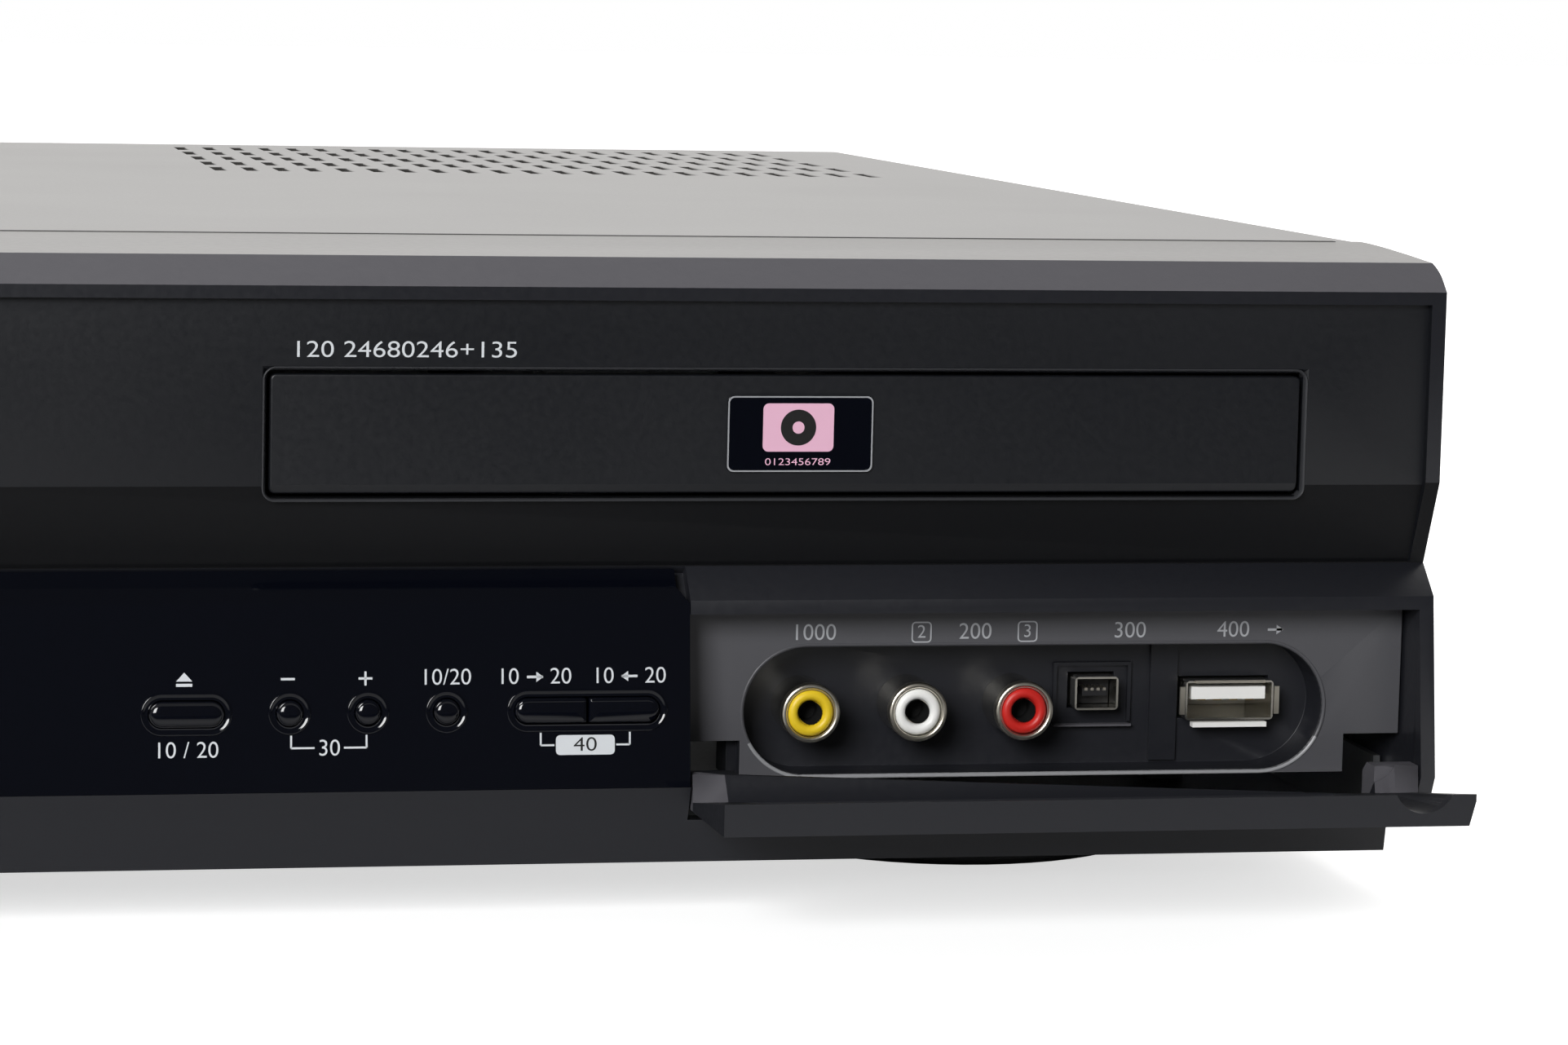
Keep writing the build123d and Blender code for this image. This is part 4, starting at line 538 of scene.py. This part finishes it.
# The frame: distance in from the plate's rim and height off its face.
FRAME_PROFILE = ((0.05, -0.1), (0.05, 0.07), (0.25, 0.07), (0.25, 0.0))
rows = [upright(round_box(BADGE_X, BADGE_Z, BADGE_WIDE - 2 * inset, BADGE_TALL - 2 * inset,
                          0.9 - inset / 2), BADGE_FACE - out) for inset, out in FRAME_PROFILE]
surface("badge_frame", *skin_over(rows), LINE, "nickel", "tray")
prints("badge_field", [round_box(*FIELD, 10.0, 6.7, 0.8)], badge_y, PINK, "red_plastic", "tray")
prints("badge_disc", [FIELD + pill(5.0, 5.0, 48)], badge_y, SHADE_AND_BLACK_INK, "black_gloss", "tray",
       lift=0.06)
prints("badge_centre", [FIELD + pill(1.7, 1.7, 32), ("0123456789", FIELD[0], 56.3, 1.0, 1.35)],
       badge_y, PINK, "red_plastic", "tray", lift=0.08)


# --- glossy strip and its keys ------------------------------------------------------------
# Smoked acrylic strip that leans back a little. Each key stands in a shallow dish with a
# raised lip, and its cap is a low dome that catches the light near its ends.
# Middles of the keys that stand alone, and of the two copy keys that share a hole.
KEY_X = {"power": -196.0, "tape_eject": -172.0, "disc_eject": 37.9, "channel_down": 51.9,
         "channel_up": 62.6, "source": 73.4}
PAIR_X = 92.9
KEYS = (*KEY_X, "copy_to_disc", "copy_to_tape")
KEY_Z = 22.3                              # middle line of the keys
PILL_HOLE, ROUND_HOLE, PAIR_HOLE = 10.4, 3.8, 20.4        # lengths of the three kinds of hole
CAP_SLACK = 0.6                           # a cap is this much smaller than its hole
STRIP_TOP, STRIP_TOP_Y, STRIP_LEAN = 37.1, 0.6, 3.1 / 25.5
rounded(BLACK_GLOSS, 0.25, "front_window")
rounded(BLACK_GLOSS, 0.45, *(key + "_button" for key in KEYS))


def strip_y(z):
    """Depth of the glossy strip's face at a height."""
    return STRIP_TOP_Y - (STRIP_TOP - z) * STRIP_LEAN


def raised(profile, x, z, long, high, face, clip=None):
    """Outlines round a pill: each (out, height) of the profile is the pill grown by out, at
    height in front of the face. clip takes (x, out) to cut the outline short on one side."""
    rows = []
    for out, height in profile:
        outline = pill(long + 2 * out, high + 2 * out)
        if clip:
            outline[:, 0] = clip(outline[:, 0], out)
        outline = outline + (x, z)
        rows.append(upright(outline, face(outline[:, 1]) - height))
    return rows


# A raised lip, then a shallow dish down to the edge of the hole.
DISH = ((1.0, -0.05), (1.0, 0.06), (0.93, 0.15), (0.80, 0.19), (0.66, 0.14), (0.50, 0.05),
        (0.32, 0.02), (0.14, 0.03), (0.02, 0.06), (0.0, -0.3))
DOME = ((0.0, -0.2), (0.0, 0.30), (-0.06, 0.44), (-0.18, 0.56), (-0.40, 0.66), (-0.75, 0.74),
        (-1.15, 0.79), (-1.50, 0.81))
HOLES = {key: (KEY_X[key], PILL_HOLE) for key in ("power", "tape_eject", "disc_eject")}
HOLES.update((key, (KEY_X[key], ROUND_HOLE)) for key in ("channel_down", "channel_up", "source"))
for key, (x, long) in (HOLES | {"copy_pair": (PAIR_X, PAIR_HOLE)}).items():
    rows = raised(DISH, x, KEY_Z, long, ROUND_HOLE, strip_y)
    surface(key + "_dish", *skin_over(rows), BLACK_GLOSS, "black_gloss", sharp=60)
PAIR_GAP = 0.15                           # half the gap between the two copy keys
HALVES = {"copy_to_disc": lambda x, out: np.minimum(x, out - PAIR_GAP),
          "copy_to_tape": lambda x, out: np.maximum(x, PAIR_GAP - out)}
for key in KEYS:
    x, long = HOLES.get(key, (PAIR_X, PAIR_HOLE))
    rows = raised(DOME, x, KEY_Z, long - CAP_SLACK, ROUND_HOLE - CAP_SLACK, strip_y,
                  HALVES.get(key))
    points, faces = skin_over(rows)
    front = list(range(len(points) - len(rows[0]), len(points)))
    surface(key + "_dome", points, faces + [front], BLACK_GLOSS, "black_gloss", key + "_key",
            sharp=60)


# --- prints on the glossy strip -----------------------------------------------------------
# Signs and plain numbers above and below the keys, and brackets that join two keys.
UP, DOWN = 26.9, 17.6                     # the two lines of print
WORD = 2.25                               # height of a figure


def bar(x0, x1, z0, z1):
    """Outline of a plain bar."""
    return np.array(((x0, z0), (x1, z0), (x1, z1), (x0, z1)))


def bracket(x0, x1, top, low, gap0, gap1, half=0.13):
    """Two hooks that hang from top to low and stop at a gap."""
    return [bar(x0 - half, x0 + half, low, top), bar(x0, gap0, low - half, low + half),
            bar(x1 - half, x1 + half, low, top), bar(gap1, x1, low - half, low + half)]


def arrow(x, z, way):
    """Short arrow: shaft and head."""
    return [bar(x - 1.1, x + 1.1, z - 0.17, z + 0.17),
            [(x + way * 1.2, z), (x + way * 0.2, z + 0.7), (x + way * 0.2, z - 0.7)][::way]]


eject_x, minus_x, plus_x = KEY_X["disc_eject"] - 0.3, KEY_X["channel_down"], KEY_X["channel_up"]
label_x = PAIR_X - 0.3
key_prints = [
    [(eject_x - 1.1, UP - 0.2), (eject_x + 1.1, UP - 0.2), (eject_x, UP + 1.0)],
    bar(eject_x - 1.1, eject_x + 1.1, UP - 0.9, UP - 0.5),
    ("10 / 20", KEY_X["disc_eject"], DOWN - 0.2, WORD),
    bar(minus_x - 1.2, minus_x + 0.7, UP - 0.16, UP + 0.16),
    bar(plus_x - 1.3, plus_x + 0.6, UP - 0.16, UP + 0.16),
    bar(plus_x - 0.5, plus_x - 0.2, UP - 0.95, UP + 0.95),
    ("30", (minus_x + plus_x) / 2 + 0.05, DOWN - 0.1, WORD),
    ("10/20", KEY_X["source"] - 0.1, UP, WORD)]
key_prints += [(text, PAIR_X + off, UP, WORD) for text, off in (("10", -11.0), ("20", -3.7),
                                                               ("10", 2.2), ("20", 9.5))]
key_prints += [round_box(label_x, DOWN, 8.2, 2.7, 0.6), ("1", KEY_X["power"], UP, WORD),
               ("2", KEY_X["tape_eject"], UP, WORD)]
key_prints += arrow(PAIR_X - 7.3, UP, 1) + arrow(PAIR_X + 5.9, UP, -1)
key_prints += bracket(minus_x + 0.2, plus_x - 0.2, 19.3, DOWN, 55.3, 59.3)
key_prints += bracket(PAIR_X - 6.5, PAIR_X + 5.9, 19.3, DOWN, PAIR_X - 4.6, PAIR_X + 4.0)
prints("key_prints", key_prints, strip_y, PRINT, "white_plastic")
prints("copy_number", [("40", label_x, DOWN, 1.95, 1.25)], strip_y, SHADE_AND_BLACK_INK, "black_gloss",
       lift=0.06)


# --- socket plate -------------------------------------------------------------------------
# Satin plate with a pill-shaped recess, whose mouth has a fine raised lip. The plate's face is in
# a paler copy of the satin as painted light, and the recess keeps the darker satin as painted
# shade; the lip's lower half is paler still, a painted highlight. Grey prints stand above the
# sockets.
PLATE_LIT = material("socket_plate_painted_light", (82, 82, 86), 0.34, bump=0.25)
LIP_HIGHLIGHT = material("recess_lip_painted_highlight", (150, 151, 154), 0.3, bump=0.1)
PALE_PRINT = material("pale_print_ink", (176, 178, 182), 0.55)
PLATE_FACE = 6.0


def plate_y(z):
    """Depth of the socket plate's face."""
    return np.full_like(z, PLATE_FACE)


rounded(BLACK_SATIN, 0.4, "jack_plate")
# Paler copy on the plate's face as painted light; the recess stays darker as painted shade.
light_and_shade_zones("jack_plate", (PLATE_LIT,), lambda x, y, z, normal: y < PLATE_FACE + 0.5)
RECESS_X, RECESS_Z, RECESS_LONG, RECESS_HIGH = 158.7, 20.5, 84.6, 18.2
RECESS_LIP = ((0.55, -0.05), (0.5, 0.12), (0.34, 0.17), (0.04, 0.03), (-0.02, -0.3))
rows = raised(RECESS_LIP, RECESS_X, RECESS_Z, RECESS_LONG, RECESS_HIGH, plate_y)
lip = surface("recess_lip", *skin_over(rows), PLATE_LIT, "black_satin_plastic", sharp=60)
# The lip's lower half gets a much paler copy of the satin: a painted highlight.
lip.data.materials.append(LIP_HIGHLIGHT)
middle = np.empty((len(lip.data.polygons), 3), np.float32)
lip.data.polygons.foreach_get("center", middle.ravel())
highlighted_half = middle[:, 2] * 1000 - FOOT_MM < 16.0
lip.data.polygons.foreach_set("material_index", highlighted_half.astype(np.int32))

SOCKET_X = {"video": 125.8, "audio_left": 141.25, "audio_right": 156.7, "link": 168.6,
            "wide": 188.4}
LABEL_Z, LABEL_HIGH = 31.6, 2.35


def boxed(x, z, wide, high, line=0.2):
    """Thin frame with round corners, as a run of four-sided pieces."""
    outer = round_box(x, z, wide, high, 0.6)
    inner = round_box(x, z, wide - 2 * line, high - 2 * line, 0.6 - line)
    return list(np.stack([np.roll(outer, 1, 0), outer, inner, np.roll(inner, 1, 0)], 1))


socket_prints = [("1000", SOCKET_X["video"] + 0.4, LABEL_Z, LABEL_HIGH),
                 ("200", SOCKET_X["audio_left"] + 8.25, LABEL_Z, LABEL_HIGH),
                 ("300", SOCKET_X["link"] + 3.5, LABEL_Z, LABEL_HIGH),
                 ("400", SOCKET_X["wide"] - 1.0, LABEL_Z, LABEL_HIGH)]
left_x, right_x = SOCKET_X["audio_left"] + 0.45, SOCKET_X["audio_right"] + 0.4
socket_prints += [("2", left_x, LABEL_Z, 1.9), ("3", right_x, LABEL_Z, 1.9)]
socket_prints += boxed(left_x, LABEL_Z, 2.9, 3.0) + boxed(right_x, LABEL_Z, 2.9, 3.0)
socket_prints += arrow(SOCKET_X["wide"] + 5.2, LABEL_Z, 1)
prints("socket_prints", socket_prints, plate_y, PALE_PRINT, "white_plastic")


# --- phono sockets ------------------------------------------------------------------------
# Nickel-plated barrels with a rolled rim in a paler copy of the nickel, a painted highlight, a
# coloured ring moulded inside, and a hole for the plug's pin in near-black, as painted shade.
def turned(name, x, z, profile, made, slot, steps=56, body="case"):
    """Ring turned about a front-to-rear axis: each (radius r, depth y) of the profile is the
    circle x + r cos t, y, z + r sin t."""
    turn = np.linspace(0, 2 * math.pi, steps, endpoint=False)
    circle = np.stack([np.cos(turn), np.sin(turn)], 1)
    rows = [upright(radius * circle + (x, z), depth) for radius, depth in profile]
    return surface(name, *skin_over(rows), made, slot, body, sharp=50)


# Paler, creamier copy of the nickel: a painted highlight on the rims, the link socket's contacts
# and the wide socket's flares.
NICKEL_HIGHLIGHT = material("nickel_painted_highlight", (226, 220, 206), 0.3, metal=1.0, spread=0.04)
RING_COLOUR = {
    "yellow_plastic": material("yellow_plastic", (238, 204, 40), 0.4),
    "white_plastic": WHITE_PLASTIC,
    "red_plastic": material("red_plastic", (206, 40, 34), 0.4)}
dress(NICKEL, "jack_shells")
dress(RING_COLOUR["yellow_plastic"], "video_insert")
dress(material("ivory_plastic", (214, 208, 190), 0.45), "audio_left_insert")
dress(RING_COLOUR["red_plastic"], "audio_right_insert")
RIM = ((3.36, 6.2), (3.36, 5.2), (3.45, 4.9), (3.65, 4.74), (3.9, 4.72), (4.12, 4.86),
       (4.22, 5.1), (4.2, 5.5), (4.16, 6.2))
COLLAR = ((3.34, 6.0), (3.3, 5.4), (3.1, 4.95), (2.7, 4.7), (2.3, 4.7), (1.95, 4.95),
          (1.75, 5.4), (1.66, 7.4))
THROAT = ((1.64, 5.2), (1.5, 6.0), (1.5, 9.0), (0.02, 9.0))
PHONO_Z = 20.4                            # middle line of the three sockets
for name, colour in (("video", "yellow_plastic"), ("audio_left", "white_plastic"),
                     ("audio_right", "red_plastic")):
    x = SOCKET_X[name]
    turned(name + "_rim", x, PHONO_Z, RIM, NICKEL_HIGHLIGHT, "nickel")
    turned(name + "_collar", x, PHONO_Z, COLLAR, RING_COLOUR[colour], colour)
    # The throat's near-black is painted shade deep in the pin hole.
    turned(name + "_throat", x, PHONO_Z, THROAT, SHADE_AND_BLACK_INK, "dark_plastic")


# --- small video link socket --------------------------------------------------------------
# Folded metal shell with four plated contacts, in a moulded surround with a ledge below. A
# step in the recess floor parts it from the wide socket.
FLOOR_Y = 12.6                            # just behind the recess floor
dress(NICKEL, "dv_shell")
dress(DARK_PLASTIC, "dv_insert")
link_x = SOCKET_X["link"]
left, right = link_x - 5.7, link_x + 5.8
blocks("link_surround", [(left, right, 11.9, FLOOR_Y, 25.6, 26.1),
                         (left, left + 0.5, 11.9, FLOOR_Y, 17.5, 25.6),
                         (right - 0.5, right, 11.9, FLOOR_Y, 17.5, 25.6)], BLACK_SATIN,
       "black_satin_plastic")
# The ledge is in the band's lit copy of the satin: a painted highlight.
blocks("link_ledge", [(left, right, 11.3, FLOOR_Y, 16.9, 17.2)], BAND_LIT, "black_satin_plastic")
contact_x = link_x + 0.9 * (np.arange(4) - 1.5)
# The contacts are in the nickel's paler copy, a painted highlight.
blocks("link_contacts", [(x - 0.22, x + 0.22, 10.2, 12.9, 22.3, 22.7) for x in contact_x],
       NICKEL_HIGHLIGHT, "nickel")
blocks("recess_step", [(177.3, 181.3, 11.9, 12.55, 11.8, 29.2)], BLACK_SATIN,
       "black_satin_plastic")


# --- wide data socket ---------------------------------------------------------------------
# Folded metal shell with flared edges, and a white tongue with four brass contacts on it.
dress(NICKEL, "usb_shell")
dress(WHITE_PLASTIC, "usb_tongue")
wide_x = SOCKET_X["wide"]
contact_x = wide_x + 2.4 * (np.arange(4) - 1.5)
blocks("wide_socket_contacts", [(x - 0.6, x + 0.6, 11.2, 17.0, 20.55, 20.75)
                                for x in contact_x], BRASS, "brass")
blocks("wide_socket_lip", [(wide_x - 5.5, wide_x + 5.5, 9.1, 10.4, 17.0, 17.7)], WHITE_PLASTIC,
       "white_plastic")
# The flares are in the nickel's paler copy, a painted highlight.
blocks("wide_socket_flares", [(wide_x - 7.4, wide_x - 6.65, 9.4, 9.8, 18.8, 22.8),
                              (wide_x + 6.65, wide_x + 7.4, 9.4, 9.8, 18.8, 22.8),
                              (wide_x - 5.2, wide_x + 5.2, 9.2, 9.7, 23.35, 23.75)], NICKEL_HIGHLIGHT,
       "nickel")


# --- socket door --------------------------------------------------------------------------
# Fold-down door, open at rest. Its inner face falls away from the free edge to the hinge,
# and a short tab stands up at each end, where the door hangs on its pins.
FREE_RIM, TAB_FACE = -21.7, -2.2          # depths of the free edge's rim and of the tabs
FALL_FROM, FALL = 13.1, 0.19              # height at the rim, and fall per mm behind it
POCKET_LEFT, POCKET_RIGHT, POCKET_HIGH, POCKET_DEEP = 114.0, 199.7, 11.3, 0.45
TAB_RIGHT, TAB_LEFT = 114.2, 206.0        # right edge of the left tab, left edge of the right
TAB_HIGH, BETWEEN_TABS = 13.2, 9.35
rounded(BLACK_SATIN, 0.5, "jack_door")
door_mesh = bpy.data.objects["jack_door_skin"].data
bm = bmesh.new()
bm.from_mesh(door_mesh)
for cut in (FREE_RIM, TAB_FACE - 0.2, TAB_FACE + 0.2):
    bmesh.ops.bisect_plane(bm, geom=bm.verts[:] + bm.edges[:] + bm.faces[:], dist=1e-7,
                           plane_co=metres((0, cut, 0))[0], plane_no=(0, 1, 0))
bm.to_mesh(door_mesh)
bm.free()
corners = np.empty((len(door_mesh.vertices), 3), np.float32)
door_mesh.vertices.foreach_get("co", corners.ravel())
x, y, z = case_mm(corners).T
pocket = (x > POCKET_LEFT) & (x < POCKET_RIGHT) & (z < POCKET_HIGH)
fallen = np.minimum(z, FALL_FROM - FALL * (y - FREE_RIM) - np.where(pocket, POCKET_DEEP, 0.0))
stood = np.minimum(z, np.where((x < TAB_RIGHT) | (x > TAB_LEFT), TAB_HIGH, BETWEEN_TABS))
z = np.select([(y > FREE_RIM - 0.05) & (y < TAB_FACE), y >= TAB_FACE], [fallen, stood], z)
corners[:, 2] = (z + FOOT_MM) / 1000
door_mesh.vertices.foreach_set("co", corners.ravel())
door_mesh.update()
door_mesh.set_sharp_from_angle(angle=math.radians(EDGE_ANGLE))


def door_light_and_shade(x, y, z, normal):
    """Painted light on the two tabs' faces in the band's lit copy, painted shade on the inner face
    in the fascia's shaded copy.
    """
    tab = (y > TAB_FACE - 0.25) & (z > 9.0) & ((x < TAB_RIGHT + 0.1) | (x > TAB_LEFT))
    return np.select([tab, (normal[:, 2] > 0.8) & (y > FREE_RIM - 0.1)], [1, 2], 0)


light_and_shade_zones("jack_door", (BAND_LIT, FASCIA_SHADED), door_light_and_shade)


# --- rear sockets -------------------------------------------------------------------------
# Two moulded multi-pin sockets, two phono barrels with coloured flanges, the mains inlet.
rounded(DARK_PLASTIC, 0.3, "scart_sockets", "power_inlet")
dress(DARK_PLASTIC, "rear_jack_block")
dress(NICKEL, "rear_jack_shells")
BARREL_RADIUS, BARREL_END = 4.15, 357.0
barrels_low, barrels_high = [np.array(corner) * 1000 - (0.0, FRONT_MM, FOOT_MM)
                             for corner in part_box("rear_jack_shells")]
rear_z = (barrels_low[2] + barrels_high[2]) / 2
REAR_RIM = ((3.2, -1.0), (3.4, 0.1), (3.8, 0.2), (4.15, -0.1), (4.2, -1.0))
REAR_COLLAR = ((3.35, -0.2), (3.0, 0.1), (2.2, 0.1), (1.66, -0.6), (1.66, -3.0))
REAR_FLANGE = ((4.2, -8.3), (5.6, -8.1), (5.8, -7.6), (5.4, -6.8), (4.2, -6.6))
for name, x, colour in (("rear_left", barrels_low[0] + BARREL_RADIUS, "red_plastic"),
                        ("rear_right", barrels_high[0] - BARREL_RADIUS, "white_plastic")):
    for part, profile, made, slot in (("_rim", REAR_RIM, NICKEL, "nickel"),
                                      ("_collar", REAR_COLLAR, RING_COLOUR[colour], colour),
                                      ("_flange", REAR_FLANGE, RING_COLOUR[colour], colour)):
        placed = [(radius, BARREL_END + behind) for radius, behind in profile]
        turned(name + part, x, rear_z, placed, made, slot)
